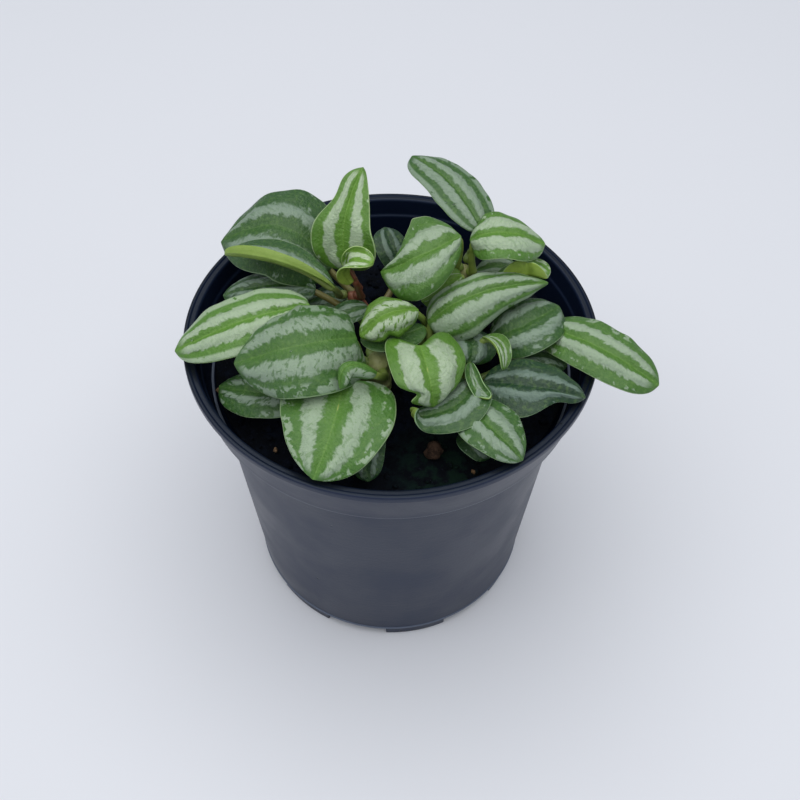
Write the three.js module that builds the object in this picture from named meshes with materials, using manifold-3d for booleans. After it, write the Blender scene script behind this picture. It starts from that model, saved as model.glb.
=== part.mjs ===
// A small striped-leaf peperomia growing in a black plastic nursery pot.
// Millimetres, +Z up. The origin is the centre of the pot's flat bottom.
import * as THREE from "three";
import { mergeVertices } from "three/addons/utils/BufferGeometryUtils.js";
import Module from "manifold-3d";

const wasm = await Module();
wasm.setup();

// ---- driving dimensions -------------------------------------------------
const rimRadius = 52;
const potHeight = 90;
const bodyTopRadius = 45.5;
const bodyBaseRadius = 39.8;
const collarHeight = 13.4;
const collarBaseRadius = 48.9;
const lipWidth = 2.6;
const wall = 1.2;
const floorThickness = 2.4;
const floorFillet = 1.6;
const edgeRounding = 0.5;
const rimBandHeight = 1.6;
const rimBandProud = 0.4;
const innerTaper = 0.8;
const ledgeDrop = 4.8;
const ledgeWidth = 0.6;
const ledgeSlope = 0.4;
const plateThickness = 1.4;
const plateInner = 32;
const plateStep = 0.6;
const footHeight = 3.6;
const footInset = 0.4;
const footBevel = 0.5;
const footCount = 7;
const footGapAngle = 26;
const firstGapAngle = -104.5;
const gapDepth = 6;
const gapReach = 3;
const drainSlotWidth = 3.6;
const drainSlotLength = 6;
const potSides = 70;
const soilTop = 79;
const soilFlare = 1.4;
const soilCrownRadius = 30;
const soilCrown = 0.3;
const soilSides = 42;
const crumbFlatness = 0.36;
const clearance = 0.35;

const stemSides = 4;
const stemSteps = 6;
const petioleRadius = 1.1;
const petioleReach = 0.075;
const bladeThickness = 1.3;
const bladeRings = 8;
const petioleRings = 3;
const ringPoints = 10;

const degrees = Math.PI / 180;
const up = new THREE.Vector3(0, 0, 1);

// ---- finishes -----------------------------------------------------------
function finish(color, roughness) {
  return new THREE.MeshStandardMaterial({ color, roughness, metalness: 0 });
}

const blackPlastic = finish("#3a3e48", 0.45);
const peat = finish("#14120f", 0.95);
const bark = finish("#8a6a4a", 0.9);
const pumice = finish("#b09a80", 0.9);
const stemGreen = finish("#8f9a4e", 0.55);
const stemRed = finish("#7c4a34", 0.55);
const leafGreen = finish("#5c8a3a", 0.42);
const leafShade = finish("#3d6238", 0.45);

const plant = new THREE.Group();

function addPart(name, geometry, material) {
  const mesh = new THREE.Mesh(geometry, material);
  mesh.name = name;
  plant.add(mesh);
}

// ---- solids -------------------------------------------------------------
function toSolid(geometry) {
  const bare = geometry.clone();
  bare.deleteAttribute("normal");
  bare.deleteAttribute("uv");
  const merged = mergeVertices(bare, 1e-4);
  return new wasm.Manifold(new wasm.Mesh({
    numProp: 3,
    vertProperties: new Float32Array(merged.attributes.position.array),
    triVerts: new Uint32Array(merged.index.array),
  }));
}

function toGeometry(solid) {
  const mesh = solid.getMesh();
  const geometry = new THREE.BufferGeometry();
  const positions = new Float32Array(mesh.vertProperties);
  geometry.setAttribute("position", new THREE.BufferAttribute(positions, 3));
  geometry.setIndex(new THREE.BufferAttribute(new Uint32Array(mesh.triVerts), 1));
  return geometry;
}

// A profile of [radius, height] pairs turned round the pot's axis.
function turned(profile, sides) {
  const points = profile.map(([radius, height]) => new THREE.Vector2(radius, height));
  return new THREE.LatheGeometry(points, sides).rotateX(Math.PI / 2);
}

// ---- pot ----------------------------------------------------------------
// One moulded shell: a tapered body, a wider collar under a flat lip, and a
// foot ring broken by gaps that let water out through the drain slots. The
// floor steps up to a thinner plate over the gaps.
function makePot() {
  const collarBase = potHeight - collarHeight;
  const lipInner = rimRadius - lipWidth;
  const ledgeTop = potHeight - ledgeDrop;
  const plateTop = footHeight + plateThickness;
  const shell = turned([
    [0, 0],
    [bodyBaseRadius - footInset, 0],
    [bodyBaseRadius - footInset, footHeight],
    [bodyBaseRadius, footHeight + footBevel],
    [bodyTopRadius, collarBase],
    [collarBaseRadius - edgeRounding, collarBase],
    [collarBaseRadius, collarBase + edgeRounding],
    [rimRadius - rimBandProud, potHeight - rimBandHeight],
    [rimRadius, potHeight - 2 * edgeRounding],
    [rimRadius - edgeRounding, potHeight],
    [lipInner + edgeRounding, potHeight],
    [lipInner, potHeight - edgeRounding],
    [lipInner - innerTaper, ledgeTop],
    [lipInner - innerTaper - ledgeWidth, ledgeTop - ledgeSlope],
    [collarBaseRadius - wall - innerTaper, collarBase],
    [bodyTopRadius - wall, collarBase - wall],
    [bodyBaseRadius - wall, plateTop + floorFillet],
    [bodyBaseRadius - 2 * wall, plateTop],
    [plateInner + plateStep, plateTop],
    [plateInner, floorThickness],
    [0, floorThickness],
  ], potSides);
  let pot = toSolid(shell);
  for (let index = 0; index < footCount; index += 1) {
    const angle = (firstGapAngle + (index * 360) / footCount) * degrees;
    pot = pot.subtract(toSolid(footGap(angle)));
    pot = pot.subtract(toSolid(drainSlot(angle)));
  }
  return toGeometry(pot);
}

// The wedge taken out of the foot ring between two feet.
function footGap(angle) {
  const half = (footGapAngle / 2) * degrees;
  const outer = bodyBaseRadius + gapReach;
  const inner = bodyBaseRadius - footInset - gapDepth;
  const outline = new THREE.Shape();
  outline.absarc(0, 0, outer, angle - half, angle + half, false);
  outline.absarc(0, 0, inner, angle + half, angle - half, true);
  const depth = footHeight + edgeRounding;
  const wedge = new THREE.ExtrudeGeometry(outline, { depth, bevelEnabled: false, curveSegments: 6 });
  return wedge.translate(0, 0, -edgeRounding);
}

// A slot through the floor, reaching in from each gap of the foot ring.
function drainSlot(angle) {
  const plateTop = footHeight + plateThickness;
  const slot = new THREE.BoxGeometry(drainSlotLength, drainSlotWidth, 2 * plateTop);
  slot.translate(bodyBaseRadius - footInset - gapDepth, 0, plateTop / 2);
  return slot.rotateZ(angle);
}

// ---- soil ---------------------------------------------------------------
// A plug of peat that fills the pot to just under the inner step of the lip.
function makeSoil() {
  const collarBase = potHeight - collarHeight;
  const neck = bodyTopRadius - wall - clearance;
  const plateTop = footHeight + plateThickness;
  return turned([
    [0, floorThickness + clearance],
    [plateInner - 2 * clearance, floorThickness + clearance],
    [plateInner, plateTop + clearance],
    [bodyBaseRadius - 2 * wall - clearance, plateTop + clearance],
    [bodyBaseRadius - wall - clearance, plateTop + floorFillet + clearance],
    [neck, collarBase - wall],
    [neck + soilFlare, soilTop - soilFlare],
    [neck + edgeRounding, soilTop - 3 * soilCrown],
    [soilCrownRadius, soilTop - soilCrown],
    [0, soilTop],
  ], soilSides);
}

// Crumbs of bark and pumice lying on the peat: [name, x, y, length, width, turn].
const crumbs = [
  ["bark_crumb_left", -43, -13, 2.4, 1.6, 20],
  ["bark_crumb_left_low", -39.5, -17, 3.4, 2.4, -30],
  ["pumice_crumb_front_left", -27.5, -31.5, 1.6, 1.4, 50],
  ["bark_piece_front", 10.5, -32, 6.4, 4.6, 25],
  ["bark_crumb_front_right", 19.5, -37.5, 1.8, 1.4, -15],
  ["bark_crumb_back", 6, 36, 3, 2, 70],
];

function makeCrumb(length, width, turn) {
  const crumb = new THREE.IcosahedronGeometry(1, 1);
  crumb.scale(length / 2, width / 2, width * crumbFlatness);
  return crumb.rotateZ(turn * degrees);
}

// ---- stems --------------------------------------------------------------
// Each stem rises from the peat along a list of points, [x, y, z].
const stems = [
  {
    name: "stem_main", radius: 2.9, finish: stemGreen,
    path: [[-3, -10.5, 79.8], [-3.1, -11, 84], [-3.3, -13.5, 93]],
  },
  {
    name: "stem_left", radius: 1.7, finish: stemRed,
    path: [[-4, 6, 79.8], [-6.5, 7.5, 87], [-11, 9.5, 92.5]],
  },
  {
    name: "stem_tall", radius: 2.1, finish: stemGreen,
    path: [[14, 7, 79.8], [17, 10, 91], [18.5, 12, 100]],
  },
  {
    name: "stem_right", radius: 1.8, finish: stemGreen,
    path: [[11, -3, 79.8], [10.5, -4, 86], [9.5, -4.5, 92]],
  },
  {
    name: "stem_front", radius: 1.8, finish: stemGreen,
    path: [[13, -16, 79.8], [14, -17, 84], [14.3, -17.3, 88]],
  },
];

function makeStem(stem) {
  const extrudePath = stemPath(stem);
  const section = new THREE.Shape();
  section.absarc(0, 0, stem.radius, 0, 2 * Math.PI, false);
  const options = { steps: stemSteps, extrudePath, curveSegments: stemSides, bevelEnabled: false };
  return new THREE.ExtrudeGeometry(section, options);
}

function stemPath(stem) {
  return new THREE.CatmullRomCurve3(stem.path.map((point) => new THREE.Vector3(...point)));
}

// ---- leaves -------------------------------------------------------------
// Each leaf leaves its stem at a height, towards an angle in degrees, and its
// midrib runs through base, mid and tip. The blade's outline has a width, a
// widest place from base to tip and a bluntness. Roll tips the blade about the
// midrib, cup bends its two halves, lobes pull the outline back past the base,
// lift raises the tip, left and right widen or narrow one half, and the curls
// roll one margin in.
const leaves = [
  {
    name: "leaf_back_left_broad",
    stem: "stem_left", height: 89.5, toward: 110,
    base: [-16, 16.5, 94], mid: [-28, 20.5, 104.5], tip: [-45, 25, 98],
    width: 27, widest: 0.46, blunt: 0.42, roll: 18, cup: -16,
  },
  {
    name: "leaf_back_upright",
    stem: "stem_left", height: 91, toward: 60,
    base: [-11, 9, 101], mid: [-11.5, 13, 113], tip: [-7, 23, 121],
    width: 16.5, widest: 0.36, blunt: 0.85, cup: 14,
  },
  {
    name: "leaf_left_folded",
    stem: "stem_left", height: 92, toward: 190,
    base: [-14, 2.5, 101], mid: [-26, 5, 106.5], tip: [-41, 11, 104],
    width: 9, widest: 0.46, blunt: 0.6, cup: 12, curlLeft: 120,
  },
  {
    name: "leaf_left_mottled",
    stem: "stem_left", height: 86.5, toward: 195,
    base: [-19.5, 9.5, 93], mid: [-30.5, 9.5, 94.5], tip: [-43, 9, 91],
    width: 11, widest: 0.44, blunt: 0.6, roll: 8, cup: -8,
  },
  {
    name: "leaf_left_long",
    stem: "stem_main", height: 89.5, toward: 165,
    base: [-20, -3, 100], mid: [-35.5, -9.5, 101], tip: [-52, -11.5, 92.5],
    width: 16.5, widest: 0.44, blunt: 0.55, roll: 12, cup: -14,
  },
  {
    name: "leaf_left_domed",
    stem: "stem_main", height: 91, toward: 185,
    base: [-8.5, -15.5, 102], mid: [-21, -23.5, 108], tip: [-36, -20.5, 98.5],
    width: 24, widest: 0.44, blunt: 0.5, roll: 14, cup: -28,
  },
  {
    name: "leaf_left_low",
    stem: "stem_main", height: 84, toward: 200,
    base: [-20.5, -22, 91], mid: [-30.5, -23, 91], tip: [-41.5, -17, 86],
    width: 13, widest: 0.44, blunt: 0.5, roll: 12, cup: -8,
  },
  {
    name: "leaf_front_broad",
    stem: "stem_main", height: 88, toward: -140,
    base: [-11, -25.5, 98.5], mid: [-13, -38.5, 97.5], tip: [-17, -48, 91.5],
    width: 26.5, widest: 0.29, blunt: 0.5, roll: 4, cup: -10,
  },
  {
    name: "leaf_young_rolled",
    stem: "stem_main", height: 90, toward: -70,
    base: [-3.5, -26, 102], mid: [-9.6, -28.4, 107], tip: [-11.1, -31.4, 103],
    width: 7, widest: 0.46, blunt: 0.4, cup: 40, curlLeft: 90, curlRight: 90,
  },
  {
    name: "leaf_centre_hood",
    stem: "stem_right", height: 91, toward: 110,
    base: [6, -7.5, 103], mid: [-1, -11.5, 106], tip: [-7, -14, 101],
    width: 12, widest: 0.46, blunt: 0.55, roll: 10, cup: -30,
  },
  {
    name: "leaf_centre_under",
    stem: "stem_right", height: 89, toward: -150,
    base: [6, -8.5, 97.5], mid: [0, -12, 99.5], tip: [-6.5, -14.5, 98.5],
    width: 10, widest: 0.46, blunt: 0.6, roll: 5,
  },
  {
    name: "leaf_centre_heart",
    stem: "stem_front", height: 90, toward: 165,
    base: [6.5, -19, 103], mid: [8.5, -28, 103], tip: [9.5, -30.5, 96],
    width: 20.5, widest: 0.35, blunt: 0.5, roll: 8, cup: -22, lobes: 0.55,
  },
  {
    name: "leaf_front_hooked",
    stem: "stem_front", height: 87, toward: -50,
    base: [19, -23.5, 96], mid: [14.5, -30, 95], tip: [5.5, -29, 91.5],
    width: 13.5, widest: 0.42, blunt: 0.55, cup: -12, lift: 3,
  },
  {
    name: "leaf_front_right",
    stem: "stem_front", height: 83.5, toward: -75,
    base: [16, -25.5, 91.5], mid: [22.8, -36, 94.5], tip: [29.3, -42.6, 91.5],
    width: 13, widest: 0.42, blunt: 0.6, cup: -10,
  },
  {
    name: "leaf_curl_low",
    stem: "stem_front", height: 87.5, toward: 12,
    base: [18.5, -22.5, 102], mid: [19, -29, 101.5], tip: [22, -30.5, 98.5],
    width: 5.5, widest: 0.46, blunt: 0.6, cup: 30, curlLeft: 60,
  },
  {
    name: "leaf_curl_high",
    stem: "stem_front", height: 86.5, toward: 60,
    base: [21.5, -14, 101], mid: [25.5, -16, 100], tip: [26, -20.5, 97],
    width: 6, widest: 0.46, blunt: 0.6, cup: 30, curlRight: 60,
  },
  {
    name: "leaf_right_low",
    stem: "stem_front", height: 84.5, toward: -5,
    base: [22, -19.5, 91], mid: [33, -23, 94], tip: [45.5, -24.5, 91.5],
    width: 15.5, widest: 0.42, blunt: 0.65, roll: -12, cup: -12,
  },
  {
    name: "leaf_right_mid",
    stem: "stem_right", height: 90.5, toward: 0,
    base: [24.5, -7, 92.5], mid: [32, -7, 98], tip: [41, 0, 97],
    width: 16, widest: 0.48, blunt: 0.5, roll: -8, cup: -10,
  },
  {
    name: "leaf_right_long",
    stem: "stem_right", height: 86.5, toward: -25,
    base: [37.5, -2.5, 92], mid: [49, -13, 97], tip: [63.5, -20, 91],
    width: 15, widest: 0.46, blunt: 0.5, roll: -12, cup: -12,
  },
  {
    name: "leaf_centre_long",
    stem: "stem_right", height: 93, toward: -85,
    base: [9, -6.5, 98], mid: [20.5, -4.5, 106], tip: [37.6, 1.5, 103.5],
    width: 13.5, widest: 0.38, blunt: 0.5, roll: -12, cup: -22, left: 0.9, right: 1.45,
  },
  {
    name: "leaf_centre_lower",
    stem: "stem_right", height: 92, toward: 35,
    base: [13.5, -6, 95], mid: [18.5, -10, 97.5], tip: [17.2, -12.6, 96.2],
    width: 12, widest: 0.46, blunt: 0.5, roll: 0, cup: -15,
  },
  {
    name: "leaf_top_left",
    stem: "stem_tall", height: 100, toward: 215,
    base: [16.2, 7.4, 113], mid: [7, 1.5, 112.5], tip: [-2.4, 2, 106.5],
    width: 17.5, widest: 0.42, blunt: 0.5, roll: 12, cup: -16,
  },
  {
    name: "leaf_top_right",
    stem: "stem_tall", height: 99, toward: -50,
    base: [19.2, 9.5, 110], mid: [26.5, 8, 114], tip: [37, 10.5, 108],
    width: 14.5, widest: 0.44, blunt: 0.55, roll: -10, cup: -18,
  },
  {
    name: "leaf_top_back",
    stem: "stem_tall", height: 100, toward: 75,
    base: [21.5, 14, 110], mid: [14.5, 24.5, 115], tip: [5, 36.5, 114],
    width: 12.5, widest: 0.48, blunt: 0.42, cup: -10,
  },
  {
    name: "leaf_back_small",
    stem: "stem_left", height: 85, toward: 60,
    base: [2.5, 21, 90], mid: [0, 23.5, 95], tip: [-2, 30, 96],
    width: 9, widest: 0.46, blunt: 0.5,
  },
  {
    name: "leaf_young_back",
    stem: "stem_left", height: 92, toward: -25,
    base: [-9.5, 3, 102.5], mid: [-10, 3.5, 108], tip: [-4.5, 1, 110],
    width: 8, widest: 0.46, blunt: 0.5, cup: 30, curlLeft: 60,
  },
  {
    name: "leaf_shaded_left",
    stem: "stem_left", height: 83, toward: 150,
    base: [-12, 13, 87], mid: [-16.5, 12, 88], tip: [-22, 11.5, 86],
    width: 8, widest: 0.46, blunt: 0.5, roll: 10,
  },
  {
    name: "leaf_shaded_centre",
    stem: "stem_main", height: 89, toward: 120,
    base: [-6, 4, 92.5], mid: [-10.5, 1.5, 93.5], tip: [-15, 0.5, 91.5],
    width: 7, widest: 0.46, blunt: 0.5, roll: 10,
  },
  {
    name: "leaf_front_dewy",
    stem: "stem_main", height: 82, toward: -90,
    base: [-3.5, -28.5, 86], mid: [-5.5, -37, 87], tip: [-5, -42.5, 83],
    width: 8.5, widest: 0.48, blunt: 0.45, cup: -15,
  },
  {
    name: "leaf_shaded_back_right",
    stem: "stem_tall", height: 91, toward: 60,
    base: [21.5, 14.5, 95], mid: [27, 13.5, 98], tip: [33, 14, 95],
    width: 9, widest: 0.46, blunt: 0.5, roll: -5, cup: -10,
  },
  {
    name: "leaf_silver_back_right",
    stem: "stem_tall", height: 92, toward: -30,
    base: [26, 4.5, 99], mid: [32, 6.5, 102], tip: [38.2, 6.8, 102.5],
    width: 9, widest: 0.48, blunt: 0.5, roll: -5, cup: 0, curlRight: 100,
  },
  {
    name: "leaf_olive_centre",
    stem: "stem_tall", height: 97, toward: 220,
    base: [17, 4.5, 103], mid: [12.5, 3, 101], tip: [7.5, 1.5, 97],
    width: 9, widest: 0.46, blunt: 0.5, roll: 10,
  },
  {
    name: "leaf_shaded_right",
    stem: "stem_front", height: 83, toward: 35,
    base: [32, -9, 88], mid: [38, -10, 90], tip: [43, -11.5, 88],
    width: 9, widest: 0.46, blunt: 0.5, roll: -5,
  },
  {
    name: "leaf_shaded_inner",
    stem: "stem_right", height: 84, toward: -40,
    base: [18.5, -3, 84.5], mid: [21, -4, 85], tip: [23.5, -5.5, 83.5],
    width: 8, widest: 0.46, blunt: 0.5, roll: -5,
  },
  {
    name: "leaf_shaded_front",
    stem: "stem_front", height: 81.5, toward: -125,
    base: [17, -29.5, 85], mid: [20, -33.5, 86], tip: [23, -36.5, 84],
    width: 8, widest: 0.46, blunt: 0.5, roll: -5,
  },
];

const leafDefaults = {
  roll: 0, cup: 0, left: 1, right: 1, lobes: 0, lift: 0, curlLeft: 0, curlRight: 0,
};

const curlStart = 0.35;
const curlFade = 0.6;
const curlGrowth = 1.5;
const liftStart = 0.65;

// Positions round one ring of a leaf, from -1 at the left margin to 1 at the
// right: first over the upper face, then back along the underside.
const ringPlaces = [-1, -0.6, -0.2, 0.2, 0.6, 1, 0.6, 0.2, -0.2, -0.6];
const upperPlaces = 6;

function clamp01(value) {
  return Math.min(Math.max(value, 0), 1);
}

// The point of a quadratic curve that passes through three points, and its direction.
function curveAt(start, middle, end, s) {
  const control = middle.clone().multiplyScalar(2).addScaledVector(start, -0.5).addScaledVector(end, -0.5);
  const point = start.clone().multiplyScalar((1 - s) ** 2);
  point.addScaledVector(control, 2 * s * (1 - s)).addScaledVector(end, s ** 2);
  const direction = control.clone().sub(start).multiplyScalar(1 - s);
  direction.addScaledVector(end.clone().sub(control), s).normalize();
  return { point, direction };
}

// Sideways and upward unit vectors of the blade at one place along its midrib.
function bladeFrame(chord, direction, roll) {
  const level = new THREE.Vector3().crossVectors(chord, up).normalize();
  level.addScaledVector(direction, -level.dot(direction)).normalize();
  const face = new THREE.Vector3().crossVectors(level, direction);
  const side = level.clone().multiplyScalar(Math.cos(roll)).addScaledVector(face, Math.sin(roll));
  const normal = face.multiplyScalar(Math.cos(roll)).addScaledVector(level, -Math.sin(roll));
  return { side, normal };
}

// Walks outwards from the midrib to place t and returns how far it gets
// sideways and upwards, and the slope there, as parts of the half-width.
function crossSection(leaf, s, t) {
  const strength = Math.sin(Math.PI * s) ** curlFade;
  const curl = (t < 0 ? leaf.curlLeft : leaf.curlRight) * strength;
  const sign = Math.sign(t);
  const steps = 8;
  let across = 0;
  let rise = 0;
  let slope = 0;
  for (let step = 0; step < steps; step += 1) {
    const place = (Math.abs(t) * (step + 0.5)) / steps;
    const curled = clamp01((place - curlStart) / (1 - curlStart)) ** curlGrowth;
    slope = (leaf.cup * place + curl * curled) * degrees;
    across += (Math.cos(slope) * Math.abs(t)) / steps;
    rise += (Math.sin(slope) * Math.abs(t)) / steps;
  }
  return { across: sign * across, rise, slope: sign * slope };
}

function midribPoints(leaf) {
  return [leaf.base, leaf.mid, leaf.tip].map((point) => new THREE.Vector3(...point));
}

function bladeRing(leaf, s) {
  const [base, mid, tip] = midribPoints(leaf);
  const { point, direction } = curveAt(base, mid, tip, s);
  const { side, normal } = bladeFrame(tip.clone().sub(base), direction, leaf.roll * degrees);
  const skew = Math.log(0.5) / Math.log(leaf.widest);
  const halfWidth = (leaf.width / 2) * Math.sin(Math.PI * s ** skew) ** leaf.blunt;
  const lift = leaf.lift * clamp01((s - liftStart) / (1 - liftStart)) ** 2;
  return ringPlaces.map((t, index) => {
    const { across, rise, slope } = crossSection(leaf, s, t);
    const reach = halfWidth * (t < 0 ? leaf.left : leaf.right);
    const half = (bladeThickness / 2) * (1 - t * t);
    const offset = index < upperPlaces ? half : -half;
    const place = point.clone();
    place.addScaledVector(normal, lift + reach * rise + offset * Math.cos(slope));
    place.addScaledVector(side, reach * across - offset * Math.sin(slope));
    return place.addScaledVector(direction, -leaf.lobes * halfWidth * t * t * (1 - s) ** 3);
  });
}

// The point of a stem's centre line at one height.
function stemCentre(stem, height) {
  const path = stemPath(stem);
  const halvings = 20;
  let [low, high] = [0, 1];
  for (let step = 0; step < halvings; step += 1) {
    const middle = (low + high) / 2;
    if (path.getPoint(middle).z < height) {
      low = middle;
    } else {
      high = middle;
    }
  }
  return path.getPoint(low);
}

// Where a leaf stalk leaves its stem: just off the stem's surface, on the
// side given by the angle toward, or else on the side that faces the blade.
function stalkRoot(leaf) {
  const stem = stems.find((candidate) => candidate.name === leaf.stem);
  const centre = stemCentre(stem, leaf.height);
  const outward = new THREE.Vector3(...leaf.base).sub(centre).setZ(0).normalize();
  if (leaf.toward !== undefined) {
    outward.set(Math.cos(leaf.toward * degrees), Math.sin(leaf.toward * degrees), 0);
  }
  return centre.addScaledVector(outward, stem.radius + petioleRadius + clearance);
}

// The leaf stalk is round and meets the blade along the blade's own direction.
function petioleRing(leaf, s) {
  const root = stalkRoot(leaf);
  const [base, mid, tip] = midribPoints(leaf);
  const start = curveAt(base, mid, tip, 0);
  const reach = root.distanceTo(base) * petioleReach;
  const bend = root.clone().lerp(base, 0.5).addScaledVector(start.direction, -reach);
  const { point, direction } = curveAt(root, bend, base, s);
  const { side, normal } = bladeFrame(tip.clone().sub(base), direction, leaf.roll * degrees);
  return ringPlaces.map((t, index) => {
    const angle = Math.PI * (1 - index / (upperPlaces - 1));
    const place = point.clone().addScaledVector(side, petioleRadius * Math.cos(angle));
    return place.addScaledVector(normal, petioleRadius * Math.sin(angle));
  });
}

// A leaf is one skin: rings along the stalk, then along the blade, closed at both ends.
function makeLeaf(leaf) {
  const rings = [];
  for (let ring = 0; ring < petioleRings; ring += 1) {
    rings.push(petioleRing(leaf, ring / petioleRings));
  }
  for (let ring = 1; ring <= bladeRings; ring += 1) {
    rings.push(bladeRing(leaf, ring / (bladeRings + 1)));
  }
  return skin(rings, stalkRoot(leaf), new THREE.Vector3(...leaf.tip));
}

// Joins rings of equal length into one closed surface that ends in two points.
function skin(rings, first, last) {
  const points = [...rings.flat(), first, last];
  const firstIndex = points.length - 2;
  const lastIndex = points.length - 1;
  const faces = [];
  for (let k = 0; k < ringPoints; k += 1) {
    const next = (k + 1) % ringPoints;
    for (let ring = 0; ring < rings.length - 1; ring += 1) {
      const a = ring * ringPoints;
      const b = a + ringPoints;
      faces.push(a + k, a + next, b + next, a + k, b + next, b + k);
    }
    const end = (rings.length - 1) * ringPoints;
    faces.push(firstIndex, next, k, lastIndex, end + k, end + next);
  }
  const geometry = new THREE.BufferGeometry();
  const positions = points.flatMap((point) => point.toArray());
  geometry.setAttribute("position", new THREE.Float32BufferAttribute(positions, 3));
  geometry.setIndex(faces);
  return geometry;
}

// ---- assembly -----------------------------------------------------------
addPart("pot", makePot(), blackPlastic);
addPart("soil", makeSoil(), peat);

for (const [name, x, y, length, width, turn] of crumbs) {
  const crumb = makeCrumb(length, width, turn);
  crumb.computeBoundingBox();
  crumb.translate(x, y, soilTop + clearance - crumb.boundingBox.min.z);
  addPart(name, crumb, name.startsWith("pumice") ? pumice : bark);
}

for (const stem of stems) {
  addPart(stem.name, makeStem(stem), stem.finish);
}

for (const leaf of leaves) {
  const shaded = leaf.name.includes("shaded") || leaf.name.includes("low");
  addPart(leaf.name, makeLeaf({ ...leafDefaults, ...leaf }), shaded ? leafShade : leafGreen);
}

export default plant;
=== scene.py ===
import math
import random

import bmesh
import bpy
from mathutils import Matrix, Vector, noise


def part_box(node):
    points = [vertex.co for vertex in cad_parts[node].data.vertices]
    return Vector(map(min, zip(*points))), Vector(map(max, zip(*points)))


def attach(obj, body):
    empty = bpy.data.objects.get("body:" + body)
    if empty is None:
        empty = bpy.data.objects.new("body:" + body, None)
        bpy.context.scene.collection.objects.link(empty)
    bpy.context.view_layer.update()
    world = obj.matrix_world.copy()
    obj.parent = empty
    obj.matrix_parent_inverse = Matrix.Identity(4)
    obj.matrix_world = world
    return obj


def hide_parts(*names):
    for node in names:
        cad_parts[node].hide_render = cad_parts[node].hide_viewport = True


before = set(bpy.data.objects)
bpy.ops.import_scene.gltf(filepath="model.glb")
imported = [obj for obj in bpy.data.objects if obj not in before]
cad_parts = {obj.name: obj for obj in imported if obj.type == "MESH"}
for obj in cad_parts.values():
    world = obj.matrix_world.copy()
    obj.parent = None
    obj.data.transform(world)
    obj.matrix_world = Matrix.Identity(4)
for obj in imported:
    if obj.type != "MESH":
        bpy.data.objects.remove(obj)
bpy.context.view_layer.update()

mm = 0.001
up = Vector((0, 0, 1))
# noise_vector would otherwise start from the clock and differ in every run
noise.seed_set(1)


# small helpers for node trees
def hexColor(code):
    channels = [int(code[i:i + 2], 16) / 255 for i in (1, 3, 5)]
    return tuple(c / 12.92 if c < 0.04045 else ((c + 0.055) / 1.055) ** 2.4 for c in channels) + (1,)


def newMaterial(name, **values):
    material = bpy.data.materials.new(name)
    material.use_nodes = True
    shader = material.node_tree.nodes["Principled BSDF"]
    for key, value in values.items():
        shader.inputs[key.replace("_", " ")].default_value = value
    return material, material.node_tree, shader


def fill(tree, node, inputs):
    for key, value in inputs.items():
        if isinstance(value, bpy.types.NodeSocket):
            tree.links.new(value, node.inputs[key])
        else:
            node.inputs[key].default_value = value


def add(tree, kind, inputs=None, **settings):
    node = tree.nodes.new("ShaderNode" + kind)
    for key, value in settings.items():
        setattr(node, key, value)
    fill(tree, node, inputs or {})
    return node


def maths(tree, operation, a, b=0.0, clamp=False):
    return add(tree, "Math", {0: a, 1: b}, operation=operation, use_clamp=clamp).outputs[0]


def plus(tree, a, b):
    return maths(tree, "ADD", a, b)


def minus(tree, a, b):
    return maths(tree, "SUBTRACT", a, b)


def times(tree, a, b):
    return maths(tree, "MULTIPLY", a, b)


def soft(tree, value, low, high, start=0.0, end=1.0):
    inputs = {"Value": value, "From Min": low, "From Max": high, "To Min": start, "To Max": end}
    return add(tree, "MapRange", inputs, interpolation_type="SMOOTHSTEP").outputs["Result"]


def mixed(tree, factor, a, b):
    node = add(tree, "Mix", data_type="RGBA")
    a, b = [hexColor(c) if isinstance(c, str) else c for c in (a, b)]
    fill(tree, node, {"Factor": factor, 6: a, 7: b})
    return node.outputs[2]


def noiseValue(tree, vector, scale, detail=3.0, roughness=0.5):
    inputs = {"Vector": vector, "Scale": scale, "Detail": detail, "Roughness": roughness}
    return add(tree, "TexNoise", inputs).outputs["Fac"]


def bumped(tree, shader, height, distance):
    bump = add(tree, "Bump", {"Height": height, "Distance": distance})
    fill(tree, shader, {"Normal": bump.outputs["Normal"]})


def objectPlace(tree):
    return add(tree, "TexCoord").outputs["Object"]


# small helpers for meshes
def finishPiece(bm, name, materials, replaced=(), smooth=1):
    mesh = bpy.data.meshes.new(name)
    for face in bm.faces:
        face.smooth = True
    bm.to_mesh(mesh)
    bm.free()
    for material in materials:
        mesh.materials.append(material)
    piece = bpy.data.objects.new(name, mesh)
    bpy.context.scene.collection.objects.link(piece)
    if smooth:
        finer = piece.modifiers.new("finer", "SUBSURF")
        finer.levels = finer.render_levels = smooth
    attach(piece, "root")
    if replaced:
        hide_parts(*replaced)
    return piece


def frameAlong(point, direction, hint=up):
    side = direction.cross(hint)
    if side.length < 1e-6:
        side = direction.cross(Vector((1, 0, 0)))
    side.normalize()
    over = side.cross(direction).normalized()
    turn = Matrix((side, over, direction)).transposed().to_4x4()
    return Matrix.Translation(point) @ turn


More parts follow.
